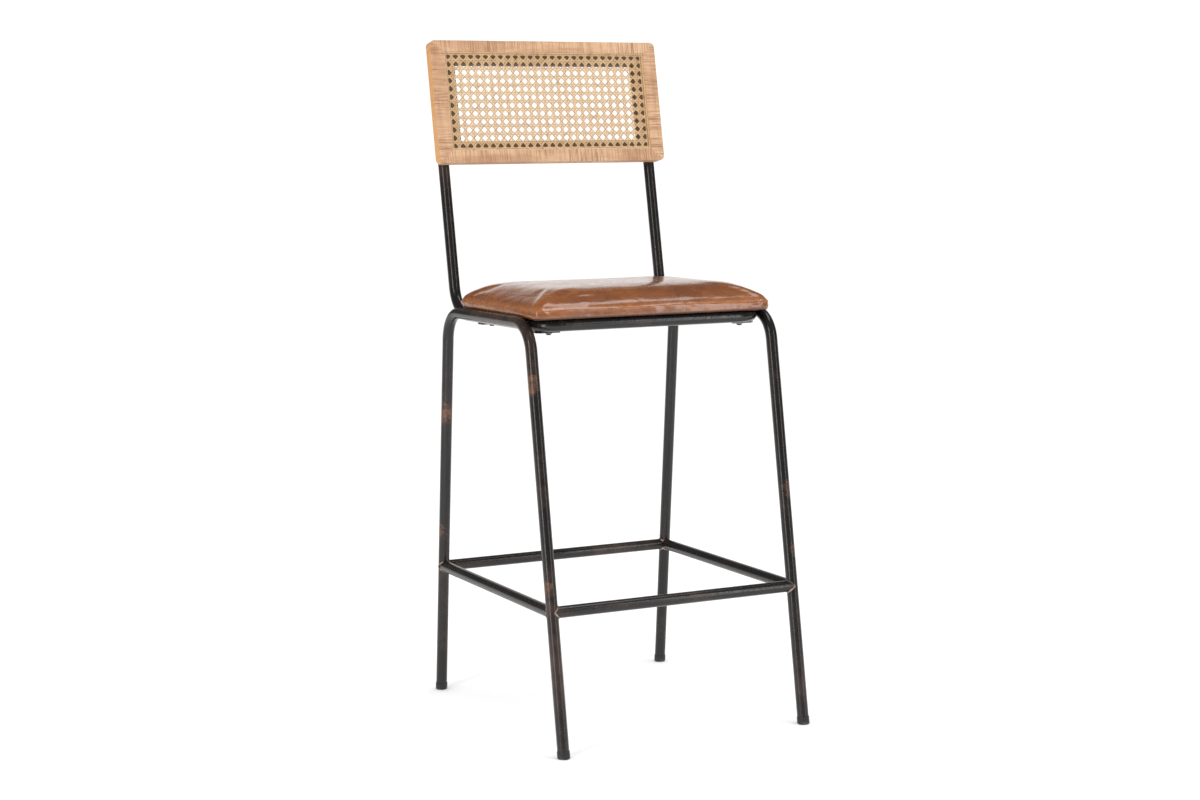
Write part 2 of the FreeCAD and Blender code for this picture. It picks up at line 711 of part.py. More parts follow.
def seat():
    """Plywood board, foam, leather cover over both, and dust cover under the board."""
    leather = size["leather"]
    gap = size["cloth_gap"]
    layer = "sizes.leather + sizes.cloth_gap"
    board_bottom = f"sizes.seat_bottom + {layer}"
    blank = seat_slab(
        "board_blank", size["board_inset"], "sizes.board_inset", board_bottom, "sizes.board_thickness",
    )
    drills = seat_drills("board_drill", "sizes.bolt_diameter * 0.75 + sizes.plug_gap")
    finish(cut("board_drilled", blank, drills), "seat_board")

    room_for_nuts = 1.6
    foam_bottom = f"{board_bottom} + sizes.board_thickness + {room_for_nuts}"
    foam_height = f"sizes.seat_top - ({layer}) - ({foam_bottom})"
    foam = seat_slab("foam_slab", leather + gap, layer, foam_bottom, foam_height, "sizes.seat_edge - 2")
    finish(foam, "seat_foam")

    outside = seat_slab(
        "leather_outside", 0, "0", "sizes.seat_bottom", "sizes.seat_top - sizes.seat_bottom",
        "sizes.seat_edge", "sizes.seat_lower_edge",
    )
    inside = seat_slab(
        "leather_inside", leather, "sizes.leather", "sizes.seat_bottom + sizes.leather",
        "sizes.seat_top - sizes.seat_bottom - 2 * sizes.leather",
        "sizes.seat_edge - sizes.leather", "sizes.seat_lower_edge - sizes.leather",
    )
    mouth = seat_slab(
        "leather_mouth", size["turn_in"], "sizes.turn_in", "sizes.seat_bottom - sizes.leather",
        "3 * sizes.leather",
    )
    hollow = fuse("leather_hollow", [inside, mouth])
    finish(cut("leather_shell", outside, hollow), "seat_leather_cover")

    cloth = seat_slab(
        "dust_cloth_blank", size["turn_in"] + gap, "sizes.turn_in + sizes.cloth_gap",
        "sizes.seat_bottom + sizes.cloth_gap", "sizes.leather / 2",
    )
    cloth_drills = seat_drills("cloth_drill", "sizes.bolt_diameter * 0.75")
    finish(cut("dust_cloth_drilled", cloth, cloth_drills), "seat_dust_cover")


# ---------------------------------------------------------------------------------------------
# Back panel, made in its own frame: x across, z up along the lean, y into the wood from its face
# ---------------------------------------------------------------------------------------------

def panel_placement():
    """Where the back panel's front lower edge is, and its lean."""
    face_at = size["upright_corner"] + (size["panel_bottom"] - size["rail_height"]) * LEAN_SLOPE
    slant = 1 / math.cos(math.radians(size["back_lean"]))
    face_at -= (size["tube_diameter"] / 2 + size["panel_thickness"]) * slant
    return Placement(
        Vector(0, face_at, size["panel_bottom"]),
        Rotation(Vector(1, 0, 0), -size["back_lean"]),
    )


PANEL_PLACE_TIES = {
    "y": "sizes.upright_corner + (sizes.panel_bottom - sizes.rail_height) * tan(sizes.back_lean * 1 deg)"
         " - (sizes.tube_diameter / 2 + sizes.panel_thickness) / cos(sizes.back_lean * 1 deg)",
    "z": "sizes.panel_bottom",
}


def put_on_panel(thing):
    """Give a piece made in the panel's frame its place on the stool."""
    thing.Placement = panel_placement()
    place(thing, PANEL_PLACE_TIES)
    thing.setExpression(".Placement.Rotation.Angle", "-sizes.back_lean * 1 deg")
    return thing


def panel_sides():
    """Turn, half length, reach from the middle, and the member and its neighbours of each side.

    The neighbours are the one at the right end and the one at the left end, with the side turned
    so that its outer edge is on top. Each is given by the end of its names in the sheet.
    """
    half_width = size["panel_width"] / 2
    half_length = size["panel_length"] / 2
    return {
        "top": (0, half_width, half_length, "top", "side", "side"),
        "right": (270, half_length, half_width, "side", "bottom", "top"),
        "bottom": (180, half_width, half_length, "bottom", "side", "side"),
        "left": (90, half_length, half_width, "side", "top", "bottom"),
    }


def turned(points, degrees):
    """Turn points of the panel's face about its middle and measure them from its lower edge."""
    angle = math.radians(degrees)
    cosine, sine = round(math.cos(angle)), round(math.sin(angle))
    lift = size["panel_length"] / 2
    return [(x * cosine - z * sine, x * sine + z * cosine + lift) for x, z in points]


def face_sketch(body, name, points, arcs=()):
    """Outline on the panel's face; arcs gives (index of the first point, point on the arc)."""
    sketch = new_sketch(body, name, "XZ_Plane")
    arcs = dict(arcs)
    pieces = []
    for index, (first, second) in enumerate(zip(points, points[1:] + points[:1])):
        start, end = Vector(*first, 0), Vector(*second, 0)
        if index in arcs:
            piece = Part.Arc(start, Vector(*arcs[index], 0), end)
        else:
            piece = Part.LineSegment(start, end)
        pieces.append(sketch.addGeometry(piece))
    sketch.addConstraint([Sketcher.Constraint("Block", piece) for piece in pieces])
    return sketch


def mitre_dowel_axes():
    """Middle and direction of each dowel, square across a corner, in the panel's face."""
    half_width = size["panel_width"] / 2
    along = 1.04
    for across in (-1, 1):
        for border, z_edge, up in (
            (size["border_bottom"], 0, 1), (size["border_top"], size["panel_length"], -1),
        ):
            middle = (across * (half_width - along * size["border_side"]), z_edge + up * along * border)
            yield middle, (across, up)


def dowel_solid(name, middle, direction, radius_tie, length, depth):
    """Dowel or its hole, lying in the panel's face plane at a depth."""
    along = Vector(direction[0], 0, direction[1]).normalize()
    base = Vector(middle[0], depth, middle[1]) - along * (length / 2)
    rod = cylinder(name, radius_tie, f"{length} mm", base, along)
    rod.Placement = panel_placement() * rod.Placement
    return rod


def back_members():
    """Four mitred wood members with a rabbet, drilled for the dowels and the back screws."""
    corner = size["panel_corner"]
    dowel_depth = (size["panel_thickness"] + size["rabbet_depth"]) / 2
    names = {
        "top": "back_top_rail", "bottom": "back_bottom_rail",
        "left": "back_left_stile", "right": "back_right_stile",
    }
    for side, (turn, half, edge, member, right_end, left_end) in panel_sides().items():
        label = names[side]
        body = doc.addObject("PartDesign::Body", f"{label}_blank")
        width, at_right, at_left = (size[f"border_{part}"] for part in (member, right_end, left_end))
        behind, behind_right, behind_left = (
            border + size[f"ledge_{part}"]
            for border, part in zip((width, at_right, at_left), (member, right_end, left_end))
        )
        right_slope = width / at_right
        left_slope = width / at_left

        def on_mitre(sign, slope):
            """Where the rounded corner's arc meets the mitre line."""
            centre_x, centre_z = corner, corner
            a = 1 + slope ** 2
            b = -2 * (centre_x + slope * centre_z)
            c = centre_x ** 2 + centre_z ** 2 - corner ** 2
            x = (-b - math.sqrt(b * b - 4 * a * c)) / (2 * a)
            return sign * (half - x), edge - slope * x

        def on_arc(sign, slope):
            """A point of the arc between the outer edge and the mitre line."""
            mitre_x, mitre_z = on_mitre(1, slope)
            angle = math.atan2(mitre_z - (edge - corner), mitre_x - (half - corner))
            angle = (angle + math.pi / 2) / 2
            return (
                sign * (half - corner + corner * math.cos(angle)),
                edge - corner + corner * math.sin(angle),
            )

        outline = [
            (-half + behind_left, edge - behind),
            (half - behind_right, edge - behind),
            (half - at_right, edge - width),
            on_mitre(1, right_slope),
            (half - corner, edge),
            (-half + corner, edge),
            on_mitre(-1, left_slope),
            (-half + at_left, edge - width),
        ]
        arcs = {3: on_arc(1, right_slope), 5: on_arc(-1, left_slope)}
        turned_arcs = {i: turned([p], turn)[0] for i, p in arcs.items()}
        sketch = face_sketch(body, f"{label}_face", turned(outline, turn), turned_arcs)
        pad(body, sketch, "sizes.panel_thickness", reverse=True)
        low, high = edge - 2 * behind, edge - width
        step = [(-half, low), (half, low), (half, high), (-half, high)]
        step_sketch = face_sketch(body, f"{label}_step", turned(step, turn))
        pocket(body, step_sketch, "sizes.rabbet_depth")
        put_on_panel(body)
        holes = []
        for number, (middle, direction) in enumerate(mitre_dowel_axes(), start=1):
            holes.append(dowel_solid(
                f"{label}_dowel_hole_{number}", middle, (direction[0], -direction[1]),
                "sizes.dowel_diameter / 2 + sizes.cope_gap", size["dowel_length"] + 1, dowel_depth,
            ))
        lean = math.radians(size["back_lean"])
        into_panel = Vector(0, -math.cos(lean), math.sin(lean))
        for number, point in enumerate(back_screw_points(), start=1):
            holes.append(cylinder(
                f"{label}_screw_hole_{number}", "sizes.screw_diameter / 2 + sizes.plug_gap",
                "sizes.tube_diameter / 2 + sizes.screw_reach + 1", point, into_panel,
            ))
        finish(cut(f"{label}_drilled", body, fuse(f"{label}_holes", holes)), label)


def back_corner_dowels():
    depth = (size["panel_thickness"] + size["rabbet_depth"]) / 2
    dowels = []
    for number, (middle, direction) in enumerate(mitre_dowel_axes(), start=1):
        dowels.append(dowel_solid(
            f"corner_dowel_{number}", middle, (direction[0], -direction[1]),
            "sizes.dowel_diameter / 2", size["dowel_length"], depth,
        ))
    return finish(group("back_corner_dowels_group", dowels), "back_corner_dowels")


def back_screws():
    """Pan-head screws through each upright into the stile."""
    lean = math.radians(size["back_lean"])
    into_panel = Vector(0, -math.cos(lean), math.sin(lean))
    head_height = 2.4
    screws = []
    for number, point in enumerate(back_screw_points(), start=1):
        seat_point = point - into_panel * (size["tube_diameter"] / 2 + 0.6)
        shank = cylinder(
            f"screw_shank_{number}", "sizes.screw_diameter / 2",
            "sizes.tube_diameter + sizes.screw_reach + 0.6", seat_point, into_panel,
        )
        head = cylinder(
            f"screw_head_{number}", "sizes.screw_diameter", f"{head_height} mm",
            seat_point - into_panel * head_height, into_panel,
        )
        screws.append(fuse(f"back_screw_{number}", [shank, head]))
    return finish(group("back_screws_group", screws), "back_screws")


def cane_panel():
    """Plain closed sheet of the woven cane's size, lying on the rabbet's ledge."""
    body = doc.addObject("PartDesign::Body", "cane_sheet")
    half = size["panel_width"] / 2
    gap = size["cloth_gap"]
    sketch = new_rectangle(
        body, "cane_outline", "XZ_Plane",
        (-half + size["border_side"] + gap, size["border_bottom"] + gap),
        (half - size["border_side"] - gap, size["panel_length"] - size["border_top"] - gap),
        (
            "-sizes.panel_width / 2 + sizes.border_side + sizes.cloth_gap",
            "sizes.border_bottom + sizes.cloth_gap",
            "sizes.panel_width / 2 - sizes.border_side - sizes.cloth_gap",
            "sizes.panel_length - sizes.border_top - sizes.cloth_gap",
        ),
    )
    pad(body, sketch, "sizes.cane_thickness", reverse=True)
    into_rabbet = size["rabbet_depth"] - size["cane_thickness"] - 0.05
    body.Placement = panel_placement() * Placement(Vector(0, into_rabbet, 0), Rotation())
    return finish(body, "cane_panel")


def cane_splines():
    """Four mitred reeds on the cane's edge, inside the opening."""
    into_rabbet = size["rabbet_depth"] - size["cane_thickness"] - size["reed_thickness"] - 0.1
    reed = size["reed_width"]
    gap = 0.1
    for side, (turn, half, edge, member, right_end, left_end) in panel_sides().items():
        width, at_right, at_left = (size[f"border_{part}"] for part in (member, right_end, left_end))
        body = doc.addObject("PartDesign::Body", f"reed_{side}")
        outer = edge - width - gap
        outline = [
            (-half + at_left + gap + reed, outer - reed),
            (half - at_right - gap - reed, outer - reed),
            (half - at_right - gap, outer),
            (-half + at_left + gap, outer),
        ]
        sketch = face_sketch(body, f"reed_{side}_face", turned(outline, turn))
        pad(body, sketch, "sizes.reed_thickness", reverse=True)
        body.Placement = panel_placement() * Placement(Vector(0, into_rabbet, 0), Rotation())
        finish(body, f"cane_spline_{side}")


# ---------------------------------------------------------------------------------------------
# Build, check and write
# ---------------------------------------------------------------------------------------------

for side_name in SIDES:
    leg_frame(side_name)
seat_back_frame()
rear_seat_rail()
footrest()
seat_frame_welds()
for side_name in SIDES:
    for row_name in ("front", "rear"):
        foot_glide(side_name, row_name)
    upright_cap(side_name)
seat_tabs()
seat_fasteners()
seat()
back_members()
back_corner_dowels()
back_screws()
cane_panel()
cane_splines()
doc.recompute()

for thing in doc.Objects:
    if {"Invalid", "Error"} & set(thing.State):
        raise RuntimeError(f"{thing.Name} did not recompute: {thing.State}")

os.makedirs("parts", exist_ok=True)
for sub_part in finished:
    shape = sub_part.Shape
    if shape.isNull() or not shape.isValid() or not shape.Solids:
        raise RuntimeError(f"{sub_part.Label} has no valid solid")
    shape.exportStep(os.path.join("parts", f"{sub_part.Label}.step"))
    print(f"{sub_part.Label}: {len(shape.Solids)} solid(s), {shape.Volume / 1000:.1f} cm3")
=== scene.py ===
"""Bar stool with a footrest: the looks of its leather seat, woven cane, wood and worn black steel.

Every piece is placed from the stool's own frame, in metres: +Z is up, +Y is towards the back, and
the floor is at z = 0.
"""

import math

import bpy
import numpy as np
from mathutils import Matrix, Vector, noise


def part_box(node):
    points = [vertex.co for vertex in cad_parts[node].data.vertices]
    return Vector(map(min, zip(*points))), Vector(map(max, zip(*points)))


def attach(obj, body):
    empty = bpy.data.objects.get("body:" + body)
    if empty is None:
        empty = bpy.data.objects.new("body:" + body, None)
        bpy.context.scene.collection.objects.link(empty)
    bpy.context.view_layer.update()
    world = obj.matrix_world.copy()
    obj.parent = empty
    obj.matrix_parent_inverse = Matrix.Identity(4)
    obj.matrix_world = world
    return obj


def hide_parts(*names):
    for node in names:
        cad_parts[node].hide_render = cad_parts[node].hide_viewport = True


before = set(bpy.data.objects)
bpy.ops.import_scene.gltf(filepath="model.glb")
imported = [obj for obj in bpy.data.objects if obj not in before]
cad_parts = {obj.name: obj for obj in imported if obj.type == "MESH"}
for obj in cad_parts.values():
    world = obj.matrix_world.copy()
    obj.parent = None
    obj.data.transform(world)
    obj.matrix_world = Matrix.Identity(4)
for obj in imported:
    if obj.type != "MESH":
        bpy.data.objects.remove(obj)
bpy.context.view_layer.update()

bl_info = {
    "name": "Bar stool with footrest",
    "version": (1, 0, 0),
    "blender": (4, 5, 0),
    "location": "3D View > Sidebar > Bar stool",
    "description": "Dresses the stool's frame with leather, cane, wood and worn steel",
    "category": "Object",
}

BODY = "root"
SEAT_LOW, SEAT_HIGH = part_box("seat_leather_cover")
CANE_LOW, CANE_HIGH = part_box("cane_panel")
CLOTH_LOW, CLOTH_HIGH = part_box("seat_dust_cover")
BACK_LEAN = math.radians(10.4)
SWELL_FRAMES = 20
LEATHER_COAT = 0.40
CAMERA_PLACE = (-1.60030, -3.25200, 0.93242)
CAMERA_RIGHT = (0.898426, -0.438934, -0.012918)
CAMERA_UP = (0.060600, 0.094795, 0.993651)
CAMERA_BACK = (-0.434923, -0.893505, 0.111766)
OPEN_SIDE = (0.438, 0.893, -0.10)


# ------------------------------------------------------------------------------ sizes and colours

def length(name, description, default):
    """A size in metres."""
    return bpy.props.FloatProperty(
        name=name, description=description, default=default, unit="LENGTH", precision=5,
    )


def colour(name, description, default):
    """A linear colour."""
    return bpy.props.FloatVectorProperty(
        name=name, description=description, default=default, size=3, min=0, max=1, subtype="COLOR",
    )


def count(name, description, default):
    """A whole number of things."""
    return bpy.props.IntProperty(name=name, description=description, default=default, min=1)


def share(name, description, default):
    """A number from 0 to 1."""
    return bpy.props.FloatProperty(
        name=name, description=description, default=default, min=0, max=1, subtype="FACTOR",
    )


class SeatSettings(bpy.types.PropertyGroup):
    """The padded leather seat"""
    front_corner: length("Front corner", "Plan radius of the front corners", 0.017)
    rear_corner: length("Rear corner", "Plan radius of the rear corners", 0.034)
    band: length("Band", "Height of the upright band under the seat's edge line", 0.0145)
    shoulder: length("Shoulder", "How far in from the edge the top reaches its full height", 0.100)
    side_tuck: length("Side tuck", "Radius of the lower edge between the leg frames", 0.0127)
    front_tuck: length("Front tuck", "Radius of the lower edge at the front", 0.0045)
    start_smaller: length("Start smaller", "How much smaller the pad is before it swells", 0.0014)
    swell_limit: length("Swell limit", "Furthest that a point may move as the pad swells", 0.0032)
    pressure: bpy.props.FloatProperty(name="Pressure", description="Pressure of the foam", default=4)
    voxel: length("Voxel", "Mesh size of the pad while it swells", 0.0045)
    leather: colour("Leather", "Main colour of the leather", (0.225, 0.070, 0.017))
    leather_dark: colour("Dark patches", "Colour where the leather is darker", (0.085, 0.024, 0.008))
    # Lighter colour along the seat's edge line: rubbed wear together with a painted highlight.
    leather_rubbed_and_highlight: colour("Rubbed edges", "Colour where the leather is rubbed", (0.40, 0.16, 0.06))


class CaneSettings(bpy.types.PropertyGroup):
    """The woven cane of the back"""
    columns: count("Columns", "Holes across the panel", 27)
    rows: count("Rows", "Holes down the panel", 12)
    strand: length("Strand", "Width of an upright or level strand", 0.00195)
    strand_gap: length("Gap", "Gap between the two strands of a pair", 0.00055)
    slant: length("Slanting strand", "Width of a slanting strand", 0.00245)
    thickness: length("Thickness", "Thickness of a strand", 0.0004)
    pair_lift: length("Pair lift", "How far the pairs weave up and down", 0.00026)
    slant_lift: length("Slant lift", "How far the slanting strands weave up and down", 0.0005)
    straw: colour("Straw", "Main colour of the cane", (0.66, 0.47, 0.27))
    fleck: colour("Fleck", "Colour of the darker fibres", (0.30, 0.165, 0.07))


class WoodSettings(bpy.types.PropertyGroup):
    """The wood frame of the back"""
    edge_round: length("Edge rounding", "Rounding of the members' edges", 0.0009)
    pale: colour("Pale wood", "Main colour of the sawn faces", (0.60, 0.385, 0.225))
    pink: colour("Pink wood", "Colour of the darker figure", (0.44, 0.24, 0.125))
    pore: colour("Pores", "Colour of the pores and saw marks", (0.25, 0.12, 0.06))
    golden: colour("Golden edge", "Colour of the outer edges", (0.55, 0.27, 0.085))
    # Painted shade: a dark colour on the ledge behind the cane, standing for the shadow in the rabbet.
    stain: colour("Ledge stain", "Colour of the stained ledge behind the cane", (0.075, 0.032, 0.014))


class SteelSettings(bpy.types.PropertyGroup):
    """The lacquered steel and its small parts"""
    bead: length("Weld bead", "Radius of a weld bead round a footrest joint", 0.0015)
    lacquer: colour("Lacquer", "Colour of the black lacquer", (0.0105, 0.009, 0.0085))
    worn: colour("Worn lacquer", "Colour where the lacquer is thin", (0.052, 0.030, 0.023))
    bare: colour("Rubbed spots", "Colour where the lacquer is rubbed through", (0.20, 0.105, 0.066))
    plastic: colour("Plastic", "Colour of the feet and caps", (0.016, 0.016, 0.017))


class StageSettings(bpy.types.PropertyGroup):
    """The floor, the lights and the camera"""
    floor: colour("Floor", "Colour of the floor", (0.97, 0.97, 0.968))
    floor_size: length("Floor size", "Side of the square floor", 60.0)
    sky: bpy.props.FloatProperty(name="Sky", description="Brightness of the white studio", default=1.1)
    flags: share("Flags", "Brightness of the grey walls at the sides in the reflections", 0.11)
    lens: bpy.props.FloatProperty(name="Lens", description="Focal length in mm", default=64.85)


SETTINGS = {
    "stool_seat": SeatSettings, "stool_cane": CaneSettings, "stool_wood": WoodSettings,
    "stool_steel": SteelSettings, "stool_stage": StageSettings,
}


# ----------------------------------------------------------------------------------- shader helpers

def add_node(tree, kind, values=None, links=None, **settings):
    """One shader node: values sets inputs, links joins inputs to sources."""
    made = tree.nodes.new(kind)
    made.location = (180 * len(tree.nodes), -120 * (len(tree.nodes) % 5))
    for name, value in settings.items():
        setattr(made, name, value)
    for name, value in (values or {}).items():
        made.inputs[name].default_value = value
    for name, source in (links or {}).items():
        tree.links.new(source, made.inputs[name])
    return made


def math_node(tree, operation, first, second=None, third=None):
    """Result of a sum on numbers or sockets."""
    made = add_node(tree, "ShaderNodeMath", operation=operation)
    for index, term in enumerate((first, second, third)):
        if term is None:
            continue
        if isinstance(term, (int, float)):
            made.inputs[index].default_value = term
        else:
            tree.links.new(term, made.inputs[index])
    return made.outputs[0]


def mix_colour(tree, factor, first, second):
    """First colour where the factor is 0, second where it is 1."""
    made = add_node(tree, "ShaderNodeMix", data_type="RGBA")
    for index, term in ((0, factor), (6, first), (7, second)):
        if isinstance(term, (int, float)):
            made.inputs[index].default_value = term
        elif isinstance(term, bpy.types.NodeSocket):
            tree.links.new(term, made.inputs[index])
        else:
            made.inputs[index].default_value = (*term, 1)
    return made.outputs[2]


def noise_value(tree, vector, scale, detail=3.0, roughness=0.55, distortion=0.0):
    """Smooth noise from 0 to 1."""
    made = add_node(
        tree, "ShaderNodeTexNoise", {"Scale": scale, "Detail": detail, "Roughness": roughness,
                                     "Distortion": distortion}, {"Vector": vector},
    )
    return made.outputs[0]


def ramp(tree, value, low, high, to_low=0.0, to_high=1.0):
    """Value between low and high taken smoothly to the range to_low to to_high."""
    made = add_node(
        tree, "ShaderNodeMapRange", {"From Min": low, "From Max": high, "To Min": to_low,
                                     "To Max": to_high}, {"Value": value},
        interpolation_type="SMOOTHSTEP",
    )
    return made.outputs[0]


def stretched(tree, vector, scale):
    """Coordinates stretched along each axis."""
    made = add_node(tree, "ShaderNodeMapping", {"Scale": scale}, {"Vector": vector})
    return made.outputs[0]


def new_group(name, inputs, outputs):
    """Empty node group with named sockets; returns the group, its inputs and its output node."""
    group = bpy.data.node_groups.new(name, "ShaderNodeTree")
    for label, kind, default in inputs:
        socket = group.interface.new_socket(label, in_out="INPUT", socket_type=kind)
        if default is not None:
            socket.default_value = default
    for label, kind in outputs:
        group.interface.new_socket(label, in_out="OUTPUT", socket_type=kind)
    entry = group.nodes.new("NodeGroupInput")
    exit_node = group.nodes.new("NodeGroupOutput")
    return group, entry.outputs, exit_node


def use_group(tree, name, values=None, links=None):
    """Place a shared effect in a material."""
    made = tree.nodes.new("ShaderNodeGroup")
    made.node_tree = bpy.data.node_groups[name]
    for label, value in (values or {}).items():
        made.inputs[label].default_value = value
    for label, source in (links or {}).items():
        tree.links.new(source, made.inputs[label])
    return made.outputs


def make_patches_group():
    """Soft-edged patches of two sizes, as where a finish is uneven or thin."""
    group, given, out = new_group(
        "uneven_patches",
        [("Vector", "NodeSocketVector", None), ("Scale", "NodeSocketFloat", 12.0),
         ("Threshold", "NodeSocketFloat", 0.5), ("Softness", "NodeSocketFloat", 0.15)],
        [("Mask", "NodeSocketFloat"), ("Fine", "NodeSocketFloat")],
    )
    broad = add_node(group, "ShaderNodeTexNoise", {"Detail": 4.0, "Roughness": 0.6},
                     {"Vector": given["Vector"], "Scale": given["Scale"]}).outputs[0]
    fine_scale = math_node(group, "MULTIPLY", given["Scale"], 9.0)
    fine = add_node(group, "ShaderNodeTexNoise", {"Detail": 3.0, "Roughness": 0.65},
                    {"Vector": given["Vector"], "Scale": fine_scale}).outputs[0]
    both = math_node(group, "MULTIPLY_ADD", fine, 0.28, math_node(group, "MULTIPLY", broad, 0.72))
    low = math_node(group, "SUBTRACT", given["Threshold"], given["Softness"])
    high = math_node(group, "ADD", given["Threshold"], given["Softness"])
    mask = add_node(group, "ShaderNodeMapRange", {},
                    {"Value": both, "From Min": low, "From Max": high},
                    interpolation_type="SMOOTHSTEP").outputs[0]
    group.links.new(mask, out.inputs["Mask"])
    group.links.new(fine, out.inputs["Fine"])


def make_spot_group():
    """One rubbed spot round a place, with a ragged edge."""
    group, given, out = new_group(
        "rubbed_spot",
        [("Vector", "NodeSocketVector", None), ("Centre", "NodeSocketVector", None),
         ("Reach", "NodeSocketFloat", 0.03), ("Mask so far", "NodeSocketFloat", 0.0)],
        [("Mask", "NodeSocketFloat")],
    )
    apart = add_node(group, "ShaderNodeVectorMath", operation="DISTANCE")
    group.links.new(given["Vector"], apart.inputs[0])
    group.links.new(given["Centre"], apart.inputs[1])
    ragged = add_node(group, "ShaderNodeTexNoise", {"Scale": 130.0, "Detail": 4.0, "Roughness": 0.7},
                      {"Vector": given["Vector"]}).outputs[0]
    near = math_node(group, "DIVIDE", apart.outputs["Value"], given["Reach"])
    uneven = math_node(group, "MULTIPLY_ADD", ragged, 1.5, math_node(group, "SUBTRACT", near, 0.75))
    spot = ramp(group, uneven, 0.55, 0.95, 1.0, 0.0)
    total = math_node(group, "MAXIMUM", spot, given["Mask so far"])
    group.links.new(total, out.inputs["Mask"])


def make_fibre_group():
    """Fine fibres along the first axis of the coordinates: a mask and a height."""
    group, given, out = new_group(
        "fine_fibres",
        [("Vector", "NodeSocketVector", None), ("Density", "NodeSocketFloat", 900.0),
         ("Length ratio", "NodeSocketFloat", 0.03)],
        [("Mask", "NodeSocketFloat"), ("Height", "NodeSocketFloat")],
    )
    along = math_node(group, "MULTIPLY", given["Density"], given["Length ratio"])
    scale = add_node(group, "ShaderNodeCombineXYZ", {}, {"X": along, "Y": given["Density"],
                                                         "Z": given["Density"]})
    scaled = add_node(group, "ShaderNodeVectorMath", operation="MULTIPLY")
    group.links.new(given["Vector"], scaled.inputs[0])
    group.links.new(scale.outputs[0], scaled.inputs[1])
    fibres = noise_value(group, scaled.outputs[0], 1.0, 4.0, 0.62)
    mask = ramp(group, fibres, 0.42, 0.66)
    group.links.new(mask, out.inputs["Mask"])
    group.links.new(fibres, out.inputs["Height"])


def new_material(name, roughness=0.5, **constants):
    """Material with a Principled shader; constants are set on the shader's own sockets."""
    material = bpy.data.materials.new(name)
    material.use_nodes = True
    tree = material.node_tree
    shader = tree.nodes["Principled BSDF"]
    shader.inputs["Roughness"].default_value = roughness
    for label, value in constants.items():
        shader.inputs[label.replace("_", " ").title().replace("Ior", "IOR")].default_value = value
    place = add_node(tree, "ShaderNodeTexCoord").outputs["Object"]
    return material, tree, shader, place


def bump(tree, shader, height, strength, distance, below=None):
    """Join a height to the shader's normal, on top of another bump if given."""
    made = add_node(tree, "ShaderNodeBump", {"Strength": strength, "Distance": distance},
                    {"Height": height})
    if below is not None:
        tree.links.new(below, made.inputs["Normal"])
    tree.links.new(made.outputs[0], shader.inputs["Normal"])
    return made.outputs[0]


def dress(node_names, material):
    """Give CAD nodes a material."""
    for name in node_names:
        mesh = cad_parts[name].data
        mesh.materials.clear()
        mesh.materials.append(material)


def new_piece(name, vertices, faces, material):
    """Mesh object in the scene, with one material and smooth shading; the caller attaches it to the
    stool.
    """
    mesh = bpy.data.meshes.new(name)
    mesh.from_pydata([tuple(v) for v in vertices], [], [tuple(f) for f in faces])
    mesh.validate()
    mesh.update()
    mesh.materials.append(material)
    mesh.polygons.foreach_set("use_smooth", [True] * len(mesh.polygons))
    piece = bpy.data.objects.new(name, mesh)
    bpy.context.scene.collection.objects.link(piece)
    return piece


# -------------------------------------------------------------------------------------- materials

def steel_material(settings):
    """Black lacquer, thin in places and rubbed through in a few spots."""
    material, tree, shader, place = new_material("black_lacquer", specular_ior_level=0.42)
    thin = use_group(tree, "uneven_patches", {"Scale": 6.0, "Threshold": 0.60, "Softness": 0.12},
                     {"Vector": place})
    base = mix_colour(tree, thin["Mask"], settings.lacquer, settings.worn)
    low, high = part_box("left_leg_frame")
    front, rear, side = low.y, high.y, -low.x
    spots = [
        ((-side, front + 0.045, 0.262), 0.016), ((side, front + 0.063, 0.385), 0.020),
        ((side, front + 0.048, 0.285), 0.016), ((-side, rear - 0.03, 0.29), 0.022),
        ((-side, rear - 0.06, 0.50), 0.026), ((-side, front + 0.09, 0.58), 0.018),
    ]
    mask = None
    for centre, reach in spots:
        links = {"Vector": place}
        if mask is not None:
            links["Mask so far"] = mask
        mask = use_group(tree, "rubbed_spot", {"Centre": centre, "Reach": reach}, links)["Mask"]
    rubbed = math_node(tree, "MULTIPLY", mask, ramp(tree, thin["Fine"], 0.38, 0.62, 0.2, 0.8))
    tree.links.new(mix_colour(tree, rubbed, base, settings.bare), shader.inputs["Base Color"])
    streaks = noise_value(tree, stretched(tree, place, (260, 260, 30)), 1.0, 3.0)
    gloss = ramp(tree, streaks, 0.3, 0.75, 0.19, 0.29)
    roughness = math_node(tree, "MULTIPLY_ADD", rubbed, 0.16, gloss)
    tree.links.new(roughness, shader.inputs["Roughness"])
    tree.links.new(math_node(tree, "MULTIPLY", rubbed, 0.75), shader.inputs["Metallic"])
    orange_peel = noise_value(tree, place, 420.0, 2.0)
    first = bump(tree, shader, orange_peel, 0.10, 0.0004)
    bump(tree, shader, rubbed, 0.20, -0.0002, first)
    return material


def weld_material(settings):
    """Heat-coloured bare beads, lacquered over in part."""
    material, tree, shader, place = new_material("weld_bead", specular_ior_level=0.5)
    patches = use_group(tree, "uneven_patches", {"Scale": 90.0, "Threshold": 0.49, "Softness": 0.06},
                        {"Vector": place})
    base = mix_colour(tree, patches["Mask"], settings.worn, (0.42, 0.33, 0.27))
    tree.links.new(base, shader.inputs["Base Color"])
    tree.links.new(math_node(tree, "MULTIPLY", patches["Mask"], 0.85), shader.inputs["Metallic"])
    tree.links.new(ramp(tree, patches["Fine"], 0.3, 0.7, 0.22, 0.42), shader.inputs["Roughness"])
    bump(tree, shader, patches["Fine"], 0.4, 0.0003)
    return material


